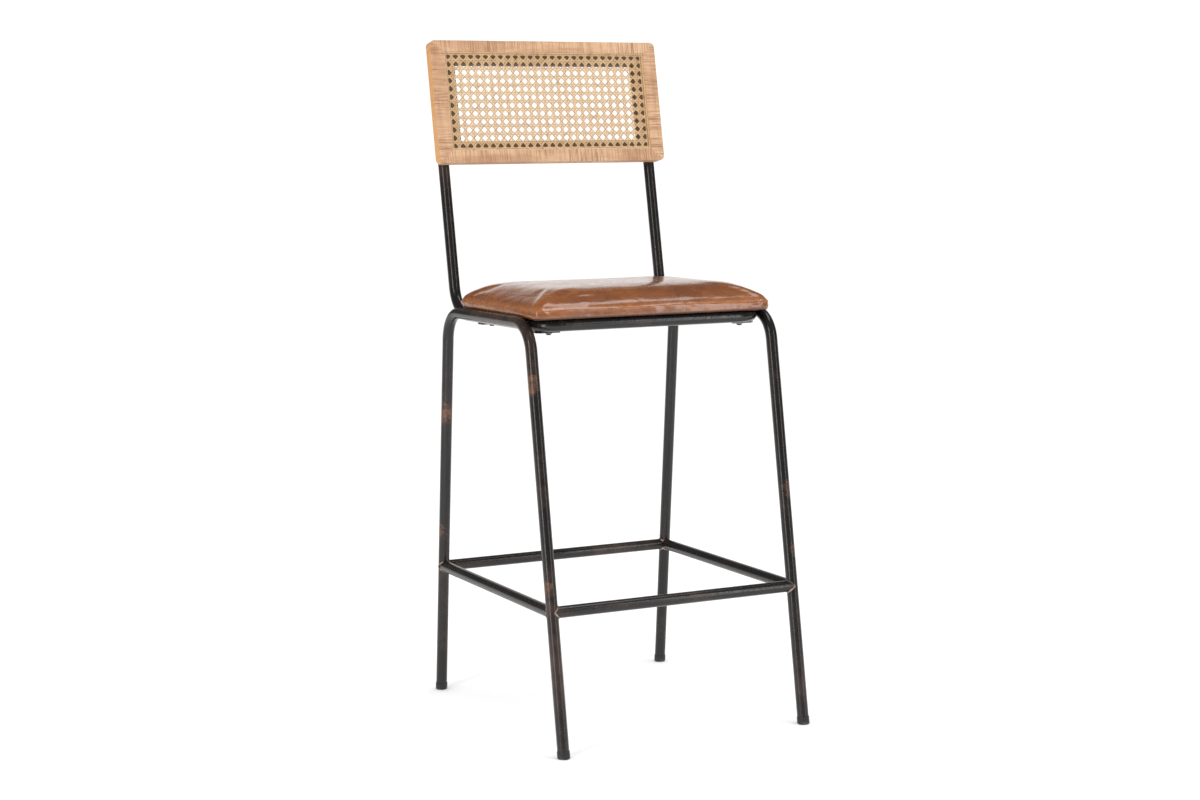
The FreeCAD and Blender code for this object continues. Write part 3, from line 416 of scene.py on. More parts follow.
def leather_material(settings):
    """Waxed brown leather: dark mottling, fine pebble grain and a few creases."""
    material, tree, shader, place = new_material(
        "waxed_leather", specular_ior_level=0.45, coat_roughness=0.09, coat_ior=1.5,
    )
    clouds = use_group(tree, "uneven_patches", {"Scale": 11.0, "Threshold": 0.53, "Softness": 0.13},
                       {"Vector": place})
    small = use_group(tree, "uneven_patches", {"Scale": 46.0, "Threshold": 0.56, "Softness": 0.10},
                      {"Vector": place})
    base = mix_colour(tree, math_node(tree, "MULTIPLY", clouds["Mask"], 0.55),
                      settings.leather, settings.leather_dark)
    base = mix_colour(tree, math_node(tree, "MULTIPLY", small["Mask"], 0.35), base,
                      settings.leather_dark)
    height = add_node(tree, "ShaderNodeSeparateXYZ", {}, {"Vector": place}).outputs["Z"]
    edge_line = SEAT_LOW.z + settings.band
    # Lighter band round the edge line: partly rubbed wear, partly a painted highlight along the crease.
    below_line = ramp(tree, height, edge_line - 0.006, edge_line + 0.001)
    above_line = ramp(tree, height, edge_line + 0.001, edge_line + 0.010, 1.0, 0.0)
    rub_and_highlight = math_node(tree, "MULTIPLY", math_node(tree, "MULTIPLY", below_line, above_line),
                    ramp(tree, clouds["Fine"], 0.35, 0.62, 0.15, 0.6))
    base = mix_colour(tree, rub_and_highlight, base, settings.leather_rubbed_and_highlight)
    pebble = add_node(tree, "ShaderNodeTexVoronoi", {"Scale": 720.0, "Randomness": 0.95},
                      {"Vector": place}, feature="DISTANCE_TO_EDGE").outputs[0]
    pebble_height = ramp(tree, pebble, 0.0, 0.22)
    creases = add_node(tree, "ShaderNodeTexVoronoi", {"Scale": 34.0, "Randomness": 1.0},
                       {"Vector": noise_shift(tree, place, 25.0, 0.018)},
                       feature="DISTANCE_TO_EDGE").outputs[0]
    crease_line = ramp(tree, creases, 0.0, 0.035)
    crease_here = ramp(tree, noise_value(tree, place, 7.0, 2.0), 0.48, 0.62)
    crease = math_node(tree, "SUBTRACT", 1.0, math_node(
        tree, "MULTIPLY", math_node(tree, "SUBTRACT", 1.0, crease_line), crease_here))
    # Darker along the crease lines.
    crease_darkening = math_node(tree, "MULTIPLY", math_node(tree, "SUBTRACT", 1.0, crease), 0.28)
    base = mix_colour(tree, crease_darkening, base, settings.leather_dark)
    # Painted shade: the lowest few millimetres of the leather, where the seat's lower edge meets the
    # rail, are coloured near black and lose their coat.
    painted_fold_shade = ramp(tree, height, SEAT_LOW.z + 0.0012, SEAT_LOW.z + 0.0042, 1.0, 0.0)
    base = mix_colour(tree, math_node(tree, "MULTIPLY", painted_fold_shade, 0.9), base, (0.018, 0.007, 0.004))
    tree.links.new(base, shader.inputs["Base Color"])
    unshaded_skin = math_node(tree, "SUBTRACT", 1.0, painted_fold_shade)
    tree.links.new(math_node(tree, "MULTIPLY", unshaded_skin, LEATHER_COAT), shader.inputs["Coat Weight"])
    wax = noise_value(tree, place, 60.0, 4.0, 0.6)
    tree.links.new(ramp(tree, wax, 0.3, 0.72, 0.20, 0.34), shader.inputs["Roughness"])
    first = bump(tree, shader, pebble_height, 0.10, 0.00025)
    second = bump(tree, shader, crease, 0.22, 0.0004, first)
    bump(tree, shader, noise_value(tree, place, 38.0, 3.0), 0.16, 0.0022, second)
    return material


def noise_shift(tree, vector, scale, reach):
    """Coordinates pushed about by noise, so that cell edges wander like creases."""
    wander = add_node(tree, "ShaderNodeTexNoise", {"Scale": scale, "Detail": 2.0}, {"Vector": vector})
    scaled = add_node(tree, "ShaderNodeVectorMath", operation="SCALE")
    tree.links.new(wander.outputs["Color"], scaled.inputs[0])
    scaled.inputs["Scale"].default_value = reach
    moved = add_node(tree, "ShaderNodeVectorMath", operation="ADD")
    tree.links.new(vector, moved.inputs[0])
    tree.links.new(scaled.outputs[0], moved.inputs[1])
    return moved.outputs[0]


def level_depth(place):
    """Depth of a place behind the panel's own upright plane through the origin."""
    return place.y * math.cos(BACK_LEAN) - place.z * math.sin(BACK_LEAN)


def panel_half_size():
    """Half the back panel's width and half its length along the lean."""
    stile_low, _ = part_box("back_left_stile")
    _, rail_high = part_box("back_top_rail")
    bottom_low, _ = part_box("back_bottom_rail")
    tall = (rail_high.z - bottom_low.z) / math.cos(BACK_LEAN)
    return -stile_low.x, tall / 2


def wood_material(name, settings, turn):
    """Pinkish sawn hardwood; turn lays the figure along the member."""
    material, tree, shader, place = new_material(name, specular_ior_level=0.32)
    level = add_node(tree, "ShaderNodeMapping", {"Rotation": (BACK_LEAN, 0, 0)}, {"Vector": place})
    along = add_node(tree, "ShaderNodeMapping", {"Rotation": (0, turn, 0)},
                     {"Vector": level.outputs[0]}).outputs[0]
    figure = noise_value(tree, stretched(tree, along, (5, 5, 42)), 1.0, 4.0, 0.6, 0.6)
    base = mix_colour(tree, ramp(tree, figure, 0.36, 0.68), settings.pale, settings.pink)
    tint = use_group(tree, "uneven_patches", {"Scale": 22.0, "Threshold": 0.5, "Softness": 0.2},
                     {"Vector": along})
    base = mix_colour(tree, math_node(tree, "MULTIPLY", tint["Mask"], 0.22), base, (0.72, 0.50, 0.37))
    pores = use_group(tree, "fine_fibres", {"Density": 1500.0, "Length ratio": 0.055}, {"Vector": along})
    base = mix_colour(tree, math_node(tree, "MULTIPLY", pores["Mask"], 0.16), base, settings.pore)
    across = stretched(tree, along, (620, 40, 17))
    saw = noise_value(tree, across, 1.0, 4.0, 0.72)
    saw_mask = ramp(tree, saw, 0.44, 0.62)
    saw_here = ramp(tree, noise_value(tree, along, 16.0, 2.0), 0.3, 0.62, 0.34, 0.9)
    base = mix_colour(tree, math_node(tree, "MULTIPLY", saw_mask, saw_here), base, settings.pore)
    facing = add_node(tree, "ShaderNodeTexCoord").outputs["Normal"]
    sideways = add_node(tree, "ShaderNodeSeparateXYZ", {}, {"Vector": facing})
    in_panel = add_node(tree, "ShaderNodeSeparateXYZ", {}, {"Vector": level.outputs[0]}).outputs
    middle, _, up, _ = panel_axes()
    # The ledge behind the cane gets painted shade: where it faces forward inside the opening it is
    # coloured dark.
    behind_cane = level_depth(middle) + 0.0004
    ledge = ramp(tree, in_panel["Y"], behind_cane, behind_cane + 0.0003)
    half_width, half_length = panel_half_size()
    for offset, half in (
        (in_panel["X"], half_width),
        (math_node(tree, "SUBTRACT", in_panel["Z"], middle.dot(up)), half_length),
    ):
        inner = half - settings.edge_round - 0.004
        within = ramp(tree, math_node(tree, "ABSOLUTE", offset), inner, inner + 0.002, 1.0, 0.0)
        ledge = math_node(tree, "MULTIPLY", ledge, within)
    ledge = math_node(tree, "MULTIPLY", ledge, ramp(tree, sideways.outputs["Y"], 0.5, 0.8, 1.0, 0.0))
    outer = math_node(tree, "MULTIPLY", ramp(tree, math_node(tree, "ABSOLUTE", sideways.outputs["X"]),
                                             0.6, 0.95), 0.72)
    base = mix_colour(tree, outer, base, settings.golden)
    # Painted shade on the ledge behind the cane.
    base = mix_colour(tree, math_node(tree, "MULTIPLY", ledge, 0.93), base, settings.stain)
    tree.links.new(base, shader.inputs["Base Color"])
    tree.links.new(ramp(tree, pores["Height"], 0.3, 0.7, 0.52, 0.68), shader.inputs["Roughness"])
    first = bump(tree, shader, pores["Height"], 0.22, 0.0003)
    bump(tree, shader, saw, 0.30, 0.0004, first)
    return material


def cane_material(settings):
    """Pale glossy cane with darker fibres and a little variation from strand to strand."""
    material, tree, shader, place = new_material("woven_cane", specular_ior_level=0.45)
    shade = add_node(tree, "ShaderNodeAttribute", attribute_name="strand_shade").outputs["Fac"]
    base = mix_colour(tree, math_node(tree, "MULTIPLY", shade, 0.75), settings.straw,
                      (0.44, 0.25, 0.10))
    speckle = use_group(tree, "uneven_patches", {"Scale": 120.0, "Threshold": 0.585, "Softness": 0.05},
                        {"Vector": place})
    base = mix_colour(tree, math_node(tree, "MULTIPLY", speckle["Mask"], 0.6), base, settings.fleck)
    fibres = use_group(tree, "fine_fibres", {"Density": 1700.0, "Length ratio": 0.3}, {"Vector": place})
    base = mix_colour(tree, math_node(tree, "MULTIPLY", fibres["Mask"], 0.2), base, settings.fleck)
    tree.links.new(base, shader.inputs["Base Color"])
    tree.links.new(ramp(tree, fibres["Height"], 0.3, 0.7, 0.36, 0.55), shader.inputs["Roughness"])
    bump(tree, shader, fibres["Height"], 0.2, 0.00015)
    return material


def plastic_material(settings):
    """Moulded black plastic, scuffed by the floor."""
    material, tree, shader, place = new_material("moulded_plastic", specular_ior_level=0.4)
    height = add_node(tree, "ShaderNodeSeparateXYZ", {}, {"Vector": place}).outputs["Z"]
    scuff = use_group(tree, "uneven_patches", {"Scale": 85.0, "Threshold": 0.53, "Softness": 0.08},
                      {"Vector": place})
    near_floor = ramp(tree, height, 0.0, 0.007, 0.9, 0.0)
    worn = math_node(tree, "MULTIPLY", scuff["Mask"], near_floor)
    base = mix_colour(tree, worn, settings.plastic, (0.11, 0.105, 0.10))
    tree.links.new(base, shader.inputs["Base Color"])
    tree.links.new(ramp(tree, scuff["Fine"], 0.3, 0.7, 0.42, 0.6), shader.inputs["Roughness"])
    bump(tree, shader, noise_value(tree, place, 1500.0, 2.0), 0.25, 0.0001)
    return material


def fastener_material(name, base_colour, tarnish, metallic, roughness):
    """Small steel parts with a little tarnish and fine turning marks."""
    material, tree, shader, place = new_material(name, metallic=metallic)
    patches = use_group(tree, "uneven_patches", {"Scale": 160.0, "Threshold": 0.52, "Softness": 0.1},
                        {"Vector": place})
    tree.links.new(mix_colour(tree, patches["Mask"], base_colour, tarnish), shader.inputs["Base Color"])
    tree.links.new(ramp(tree, patches["Fine"], 0.3, 0.7, roughness - 0.08, roughness + 0.1),
                   shader.inputs["Roughness"])
    bump(tree, shader, patches["Fine"], 0.2, 0.0001)
    return material


def plywood_material():
    """Plies seen on the board's edge and long pale grain on its faces."""
    material, tree, shader, place = new_material("birch_plywood", roughness=0.7)
    height = add_node(tree, "ShaderNodeSeparateXYZ", {}, {"Vector": place}).outputs["Z"]
    plies = math_node(tree, "PINGPONG", height, 0.0014)
    ply_mask = ramp(tree, plies, 0.0005, 0.0009)
    grain = use_group(tree, "fine_fibres", {"Density": 700.0, "Length ratio": 0.04}, {"Vector": place})
    base = mix_colour(tree, ply_mask, (0.62, 0.44, 0.26), (0.44, 0.28, 0.15))
    base = mix_colour(tree, math_node(tree, "MULTIPLY", grain["Mask"], 0.35), base, (0.35, 0.21, 0.10))
    tree.links.new(base, shader.inputs["Base Color"])
    bump(tree, shader, grain["Height"], 0.3, 0.0003)
    return material


def dust_cloth_material():
    """Thin black non-woven cloth with a pressed diamond pattern of small dents."""
    material, tree, shader, place = new_material("dust_cloth", roughness=0.9, specular_ior_level=0.2)
    fibres = use_group(tree, "fine_fibres", {"Density": 1100.0, "Length ratio": 0.35}, {"Vector": place})
    base = mix_colour(tree, fibres["Mask"], (0.012, 0.012, 0.013), (0.035, 0.034, 0.034))
    tree.links.new(base, shader.inputs["Base Color"])
    turned_place = add_node(tree, "ShaderNodeMapping", {"Rotation": (0, 0, math.radians(45))},
                            {"Vector": place}).outputs[0]
    dents = add_node(tree, "ShaderNodeTexVoronoi", {"Scale": 420.0, "Randomness": 0.0},
                     {"Vector": turned_place}).outputs[0]
    first = bump(tree, shader, ramp(tree, dents, 0.1, 0.4), 0.5, 0.0003)
    bump(tree, shader, fibres["Height"], 0.4, 0.0002, first)
    return material


# --------------------------------------------------------------------------------------- the seat

def side_share(x, y):
    """1 where the seat's lower edge nests between the tubes, 0 at the free front edge."""
    half = (SEAT_HIGH.x - SEAT_LOW.x) / 2
    beside = min(max((abs(x) - half + 0.035) / 0.025, 0), 1)
    behind = min(max((y + 0.145) / 0.03, 0), 1)
    at_rear = min(max((y - SEAT_HIGH.y + 0.03) / 0.02, 0), 1)
    return max(beside * behind, at_rear)


def tuck_at(x, y, settings):
    """Radius of the seat's lower edge."""
    return settings.front_tuck + (settings.side_tuck - settings.front_tuck) * side_share(x, y)


def rounded_outline(inset, settings, steps=10):
    """Plan outline of the seat, inset all round, as points from the front left corner."""
    low_x, high_x = SEAT_LOW.x + inset, SEAT_HIGH.x - inset
    low_y, high_y = SEAT_LOW.y + inset, SEAT_HIGH.y - inset
    points = []
    for corner_x, corner_y, start, radius in (
        (low_x, low_y, math.pi, settings.front_corner),
        (high_x, low_y, 1.5 * math.pi, settings.front_corner),
        (high_x, high_y, 0, settings.rear_corner),
        (low_x, high_y, 0.5 * math.pi, settings.rear_corner),
    ):
        radius = max(radius - inset * 0.15, 0.016)
        centre_x = corner_x + math.copysign(radius, -corner_x)
        centre_y = corner_y + math.copysign(radius, -corner_y)
        for step in range(steps + 1):
            angle = start + 0.5 * math.pi * step / steps
            points.append((centre_x + radius * math.cos(angle), centre_y + radius * math.sin(angle)))
    return points


def seat_profile(settings):
    """Inset and height of the pad above its underside, from the lower edge to the full crown."""
    crown = SEAT_HIGH.z - SEAT_LOW.z
    slope = [
        (0.0, 0.0), (0.008, 0.085), (0.022, 0.18), (0.044, 0.28), (0.09, 0.41), (0.17, 0.56),
        (0.26, 0.685), (0.36, 0.79), (0.48, 0.87), (0.62, 0.93), (0.80, 0.97), (1.0, 0.985),
    ]
    rows = [(0.0002, settings.band - 0.004)]
    for reach, height in slope:
        rows.append((reach * settings.shoulder, settings.band + height * (crown - settings.band)))
    return rows


def seat_blank(settings):
    """Closed pad, a little smaller than the finished seat."""
    smaller = settings.start_smaller
    vertices, faces = [], []

    def add_ring(inset, height, low_edge=False):
        start = len(vertices)
        for x, y in rounded_outline(inset + smaller, settings):
            if low_edge:
                tuck = tuck_at(x, y, settings)
                towards = Vector((x, y, 0)) - Vector((0, -0.01, 0))
                pull = tuck * low_edge[0]
                shrink = 1 - pull / max(towards.length, 1e-6)
                x, y = x * shrink, (y + 0.01) * shrink - 0.01
                level = SEAT_LOW.z + smaller * 0.4 + tuck * low_edge[1]
            else:
                level = SEAT_LOW.z + height
            vertices.append((x, y, level))
        return start, len(vertices) - start

    rings = [add_ring(0, 0, (math.sqrt(2) * (1 - math.sin(a)), 1 - math.cos(a)))
             for a in (0, math.radians(30), math.radians(60), math.radians(90))]
    for inset, height in seat_profile(settings):
        rings.append(add_ring(inset, height - smaller * 0.7))
    for (first, size_of), (second, _) in zip(rings, rings[1:]):
        for i in range(size_of):
            j = (i + 1) % size_of
            faces.append((first + i, first + j, second + j, second + i))
    faces.append(tuple(reversed(range(rings[0][0], rings[0][0] + rings[0][1]))))
    faces.append(tuple(range(rings[-1][0], rings[-1][0] + rings[-1][1])))
    return vertices, faces


def make_only_active(piece):
    """Select one piece and nothing else."""
    bpy.ops.object.select_all(action="DESELECT")
    piece.select_set(True)
    bpy.context.view_layer.objects.active = piece


def apply_modifier(piece, name):
    """Make a modifier's result the piece's own mesh."""
    make_only_active(piece)
    bpy.ops.object.modifier_apply(modifier=name)


def vertex_array(mesh):
    """Places of a mesh's vertices, one in each row."""
    co = np.empty(len(mesh.vertices) * 3, np.float64)
    mesh.vertices.foreach_get("co", co)
    return co.reshape(-1, 3)


def set_vertices(mesh, co):
    """Move a mesh's vertices to the given rows."""
    mesh.vertices.foreach_set("co", co.reshape(-1).astype(np.float32))
    mesh.update()


def swell(piece, settings):
    """Let the foam press the leather out by cloth simulation, with each point's move limited."""
    mesh = piece.data
    before = vertex_array(mesh)
    held = piece.vertex_groups.new(name="held")
    resting = [i for i, z in enumerate(before[:, 2]) if z < SEAT_LOW.z + 0.005]
    held.add(resting, 1.0, "REPLACE")
    cloth = piece.modifiers.new("leather_tension", "CLOTH")
    cloth.settings.quality = 5
    cloth.settings.mass = 0.4
    cloth.settings.tension_stiffness = 18
    cloth.settings.compression_stiffness = 18
    cloth.settings.shear_stiffness = 8
    cloth.settings.bending_stiffness = 2.0
    cloth.settings.vertex_group_mass = "held"
    cloth.settings.use_pressure = True
    cloth.settings.uniform_pressure_force = settings.pressure
    cloth.settings.effector_weights.gravity = 0
    cloth.collision_settings.use_collision = False
    cloth.point_cache.frame_start = 1
    cloth.point_cache.frame_end = SWELL_FRAMES
    scene = bpy.context.scene
    for number in range(1, SWELL_FRAMES + 1):
        scene.frame_set(number)
    apply_modifier(piece, cloth.name)
    scene.frame_set(1)
    after = vertex_array(mesh)
    move = after - before
    reach = np.linalg.norm(move, axis=1)
    limit = settings.swell_limit
    eased = limit * np.tanh(reach / limit)
    move *= (eased / np.maximum(reach, 1e-9))[:, None]
    set_vertices(mesh, before + move)
    piece.vertex_groups.clear()


def edge_distance(x, y):
    """Distance in from the seat's rounded outline, near enough for the edge line and the tuck."""
    settings = bpy.context.scene.stool_seat
    half = (SEAT_HIGH.x - SEAT_LOW.x) / 2
    middle_y = (SEAT_HIGH.y + SEAT_LOW.y) / 2
    deep = (SEAT_HIGH.y - SEAT_LOW.y) / 2
    radius = np.where(y < middle_y, settings.front_corner, settings.rear_corner)
    qx = np.abs(x) - half + radius
    qy = np.abs(y - middle_y) - deep + radius
    outside = np.hypot(np.maximum(qx, 0), np.maximum(qy, 0)) + np.minimum(np.maximum(qx, qy), 0) - radius
    return -outside


def shape_leather(piece, settings):
    """Edge line, small creases and the recess for the dust cloth."""
    mesh = piece.data
    co = vertex_array(mesh)
    normals = np.empty(len(mesh.vertices) * 3)
    mesh.vertices.foreach_get("normal", normals)
    normals = normals.reshape(-1, 3)
    height = co[:, 2] - SEAT_LOW.z
    outward = np.maximum(np.hypot(normals[:, 0], normals[:, 1]), 0.2)
    line = settings.band + 0.0007 * np.sin(co[:, 0] * 31) + 0.0005 * np.sin(co[:, 1] * 23 + 1.3)
    ridge = np.exp(-((height - line) / 0.0016) ** 2) * 0.0010
    dip = np.exp(-((height - line - 0.0045) / 0.0028) ** 2) * 0.0007
    near_edge = edge_distance(co[:, 0], co[:, 1]) < 0.03
    push = (ridge - dip) * outward * near_edge
    for i in np.nonzero(near_edge)[0]:
        place = Vector(co[i])
        soft = noise.noise(place * 34) * 0.0005
        crease = noise.noise(Vector((place.x * 60, place.y * 60, place.z * 260)))
        push[i] += soft - 0.0007 * max(crease - 0.25, 0)
    for i in np.nonzero(~near_edge & (height > 0.02))[0]:
        place = Vector(co[i])
        push[i] += noise.noise(place * 13) * 0.0007 + noise.noise(place * 31) * 0.0003
    co += normals * push[:, None]
    co[:, 2] = np.clip(co[:, 2], SEAT_LOW.z, SEAT_HIGH.z + 0.002)
    height = co[:, 2] - SEAT_LOW.z
    inside_mouth = (
        (co[:, 0] > CLOTH_LOW.x + 0.001) & (co[:, 0] < CLOTH_HIGH.x - 0.001)
        & (co[:, 1] > CLOTH_LOW.y + 0.001) & (co[:, 1] < CLOTH_HIGH.y - 0.001)
    )
    co[inside_mouth & (height < 0.008), 2] = CLOTH_HIGH.z + 0.0006
    set_vertices(mesh, co)


def tuck_under(piece, settings):
    """Draw the lower edge in where the tubes need room, and flatten the underside."""
    mesh = piece.data
    co = vertex_array(mesh)
    height = co[:, 2] - SEAT_LOW.z
    for i in np.nonzero(height < settings.side_tuck)[0]:
        x, y = co[i, 0], co[i, 1]
        tuck = tuck_at(x, y, settings)
        if height[i] >= tuck:
            continue
        rise = tuck - max(height[i], 0)
        wanted = tuck - math.sqrt(max(tuck ** 2 - rise ** 2, 0))
        inside = float(edge_distance(np.array([x]), np.array([y]))[0])
        if inside < wanted:
            half = (SEAT_HIGH.x - SEAT_LOW.x) / 2
            inward = Vector((-x if abs(x) > half - 0.04 else 0, -y if abs(y) > 0.12 else 0, 0))
            if inward.length > 0:
                co[i, :2] += np.array(inward.normalized()[:2]) * (wanted - inside)
    inside = edge_distance(co[:, 0], co[:, 1])
    tucks = np.array([tuck_at(x, y, settings) for x, y in co[:, :2]])
    co[(height < 0.0035) & (inside > tucks * 0.8), 2] = SEAT_LOW.z
    co[:, 2] = np.maximum(co[:, 2], SEAT_LOW.z)
    set_vertices(mesh, co)


# --------------------------------------------------------------------------------------- the cane

def panel_axes():
    """Middle of the cane, and its across, up and front directions."""
    middle = (CANE_LOW + CANE_HIGH) / 2
    across = Vector((1, 0, 0))
    up = Vector((0, math.sin(BACK_LEAN), math.cos(BACK_LEAN)))
    front = Vector((0, -math.cos(BACK_LEAN), math.sin(BACK_LEAN)))
    return middle, across, up, front


def cane_size():
    """Width of the cane, and its length along the lean."""
    wide, deep, tall = CANE_HIGH - CANE_LOW
    long = (tall * math.cos(BACK_LEAN) - deep * math.sin(BACK_LEAN)) / math.cos(2 * BACK_LEAN)
    return wide, long


class Weaver:
    """Collects strands as one mesh."""

    def __init__(self, sides=6):
        self.vertices, self.faces, self.shades = [], [], []
        angles = [2 * math.pi * (i + 0.5) / sides for i in range(sides)]
        self.section = [(math.cos(a), math.sin(a)) for a in angles]
        self.middle, self.across, self.up, self.front = panel_axes()

    def strand(self, points, side, width, thickness, shade):
        """Strand through points (across, up, lift); side is its sideways direction in the panel."""
        start = len(self.vertices)
        sides = len(self.section)
        for x, z, lift in points:
            for around, raise_by in self.section:
                at_x = x + side[0] * around * width / 2
                at_z = z + side[1] * around * width / 2
                out = lift + raise_by * thickness / 2
                self.vertices.append(
                    self.middle + self.across * at_x + self.up * at_z + self.front * out
                )
                self.shades.append(shade)
        for i in range(len(points) - 1):
            low, high = start + i * sides, start + (i + 1) * sides
            for j in range(sides):
                k = (j + 1) % sides
                self.faces.append((low + j, low + k, high + k, high + j))
        self.faces.append(tuple(reversed(range(start, start + sides))))
        last = start + (len(points) - 1) * sides
        self.faces.append(tuple(range(last, last + sides)))


def shade_of(*numbers):
    """Steady shade from 0 to 1 for a strand."""
    return 0.5 + 0.5 * noise.noise(Vector((numbers[0] * 1.37 + 0.5, numbers[1] * 2.11 + 0.3, 7.7)))


def weave(settings):
    """Six-way cane: level and upright pairs, and slanting strands that pass over and under them."""
    width, tall = cane_size()
    columns, rows = settings.columns, settings.rows
    pitch_x, pitch_z = width / columns, tall / rows
    weaver = Weaver()
    steps = 5
    pair_reach = (settings.strand + settings.strand_gap) / 2
    border = pair_reach + settings.strand / 2 + 0.0002

    def wander(*key):
        return noise.noise(Vector((key[0] * 0.61, key[1] * 1.93, 3.1))) * 0.00022

    for column in range(columns + 1):
        centre = min(max(column * pitch_x, border), width - border) - width / 2
        for twin in (-1, 1):
            shade = shade_of(column, twin)
            points = []
            for step in range(rows * steps + 1):
                v = step / steps
                lift = settings.pair_lift * (-1) ** column * math.cos(math.pi * v)
                drift = wander(column + 40 * twin, v)
                points.append((centre + twin * pair_reach + drift, v * pitch_z - tall / 2, lift))
            weaver.strand(points, (1, 0), settings.strand, settings.thickness, shade)
    for row in range(rows + 1):
        centre = min(max(row * pitch_z, border), tall - border) - tall / 2
        for twin in (-1, 1):
            shade = shade_of(row + 100, twin)
            points = []
            for step in range(columns * steps + 1):
                u = step / steps
                lift = -settings.pair_lift * (-1) ** row * math.cos(math.pi * u)
                drift = wander(row + 200 + 40 * twin, u)
                points.append((u * pitch_x - width / 2, centre + twin * pair_reach + drift, lift))
            weaver.strand(points, (0, 1), settings.strand, settings.thickness, shade)
    slope_length = math.hypot(pitch_x, pitch_z)
    finer = 8
    for direction in (-1, 1):
        side = (-direction * pitch_z / slope_length, pitch_x / slope_length)
        for line in range(columns + rows):
            start_u = line + 0.5 if direction < 0 else line + 0.5 - rows
            points = []
            for step in range(rows * finer + 1):
                v = step / finer
                u = start_u - v if direction < 0 else start_u + v
                if not 0.03 <= u <= columns - 0.03:
                    continue
                lift = direction * settings.slant_lift * math.cos(2 * math.pi * u)
                points.append((u * pitch_x - width / 2, v * pitch_z - tall / 2, lift))
            if len(points) > 2:
                shade = shade_of(line + 300, direction)
                weaver.strand(points, side, settings.slant, settings.thickness * 0.85, shade)
    return weaver


# -------------------------------------------------------------------------------- footrest welds

def bead_along(points, radius, sides=8):
    """Bumpy bead of weld metal along a line of points."""
    vertices, faces = [], []
    count_of = len(points)
    for i, place in enumerate(points):
        ahead = points[min(i + 1, count_of - 1)]
        behind = points[max(i - 1, 0)]
        along = (ahead - behind).normalized()
        square = along.cross(Vector((0.31, 0.42, 0.85))).normalized()
        other = along.cross(square)
        ends = min(1.0, 0.35 + 0.65 * min(i, count_of - 1 - i) / 4)
        ripple = 1 + 0.16 * math.sin(i * 1.9) + 0.18 * noise.noise(place * 260)
        for j in range(sides):
            angle = 2 * math.pi * j / sides
            out = square * math.cos(angle) + other * math.sin(angle)
            vertices.append(place + out * radius * ripple * ends)
    for i in range(count_of - 1):
        for j in range(sides):
            k = (j + 1) % sides
            faces.append((i * sides + j, i * sides + k, (i + 1) * sides + k, (i + 1) * sides + j))
    faces.append(tuple(reversed(range(sides))))
    faces.append(tuple(range((count_of - 1) * sides, count_of * sides)))
    return vertices, faces


def footrest_joints():
    """Centre of each corner of the footrest, the leg's direction and the sides it faces."""
    front_low, front_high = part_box("footrest_front_rail")
    rear_low, rear_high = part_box("footrest_rear_rail")
    level = (front_low.z + front_high.z) / 2
    radius = (front_high.z - front_low.z) / 2
    side_low, side_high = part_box("footrest_left_rail")
    across = -(side_low.x + side_high.x) / 2
    front_y = (front_low.y + front_high.y) / 2
    rear_y = (rear_low.y + rear_high.y) / 2
    feet = {
        -1: (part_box("foot_glide_front_left")[0].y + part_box("foot_glide_front_left")[1].y) / 2,
        1: (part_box("foot_glide_rear_left")[0].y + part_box("foot_glide_rear_left")[1].y) / 2,
    }
    for side in (-1, 1):
        for row, place_y in ((-1, front_y), (1, rear_y)):
            leg = Vector((0, place_y - feet[row], level)).normalized()
            yield Vector((side * across, place_y, level)), leg, side, row, radius


def footrest_beads(settings):
    """Beads round each end of the four footrest rails."""
    vertices, faces = [], []

    def add(points):
        more_vertices, more_faces = bead_along(points, settings.bead)
        start = len(vertices)
        vertices.extend(more_vertices)
        faces.extend(tuple(start + i for i in face) for face in more_faces)

    for centre, leg, side, row, radius in footrest_joints():
        sideways = Vector((1, 0, 0))
        square = leg.cross(sideways).normalized()
        steps = 40
        cross_rail, side_rail = [], []
        for step in range(steps + 1):
            angle = 2 * math.pi * step / steps + 0.4
            along_x = -side * radius * abs(math.sin(angle))
            round_leg = (square * math.cos(angle) + leg * math.sin(angle)) * radius
            cross_rail.append(centre + sideways * along_x + round_leg)
            slope = abs(leg.y / leg.z)
            norm = math.hypot(1, slope)
            rise = radius * math.sin(angle)
            out = norm * radius * abs(math.sin(angle)) - slope * rise
            side_rail.append(
                centre + Vector((radius * math.cos(angle), -row * out, rise))
            )
        add(cross_rail)
        add(side_rail)
    return vertices, faces


# -------------------------------------------------------------------------------------- operators

class PieceOperator:
    """Shared options of the operators that make or finish pieces"""
    bl_options = {"REGISTER", "UNDO"}


class STOOL_OT_mix_effects(PieceOperator, bpy.types.Operator):
    """Build the effects that more than one finish uses"""
    bl_idname = "stool.mix_effects"
    bl_label = "Shared effects"

    def execute(self, context):
        make_patches_group()
        make_spot_group()
        make_fibre_group()
        return {"FINISHED"}


class STOOL_OT_lacquer_frame(PieceOperator, bpy.types.Operator):
    """Lacquer the tubes and the tabs"""
    bl_idname = "stool.lacquer_frame"
    bl_label = "Steel frame"

    def execute(self, context):
        names = [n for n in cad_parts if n.endswith(("_leg_frame", "_seat_rail"))
                 or n.startswith(("footrest_", "seat_tab_")) or n == "seat_back_frame"]
        dress(names, steel_material(context.scene.stool_steel))
        return {"FINISHED"}


class STOOL_OT_weld_footrest(PieceOperator, bpy.types.Operator):
    """Lay the weld beads round the footrest's joints"""
    bl_idname = "stool.weld_footrest"
    bl_label = "Footrest welds"

    def execute(self, context):
        settings = context.scene.stool_steel
        material = weld_material(settings)
        dress(["seat_frame_welds"], material)
        vertices, faces = footrest_beads(settings)
        beads = new_piece("footrest_weld_beads", vertices, faces, material)
        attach(beads, BODY)
        return {"FINISHED"}


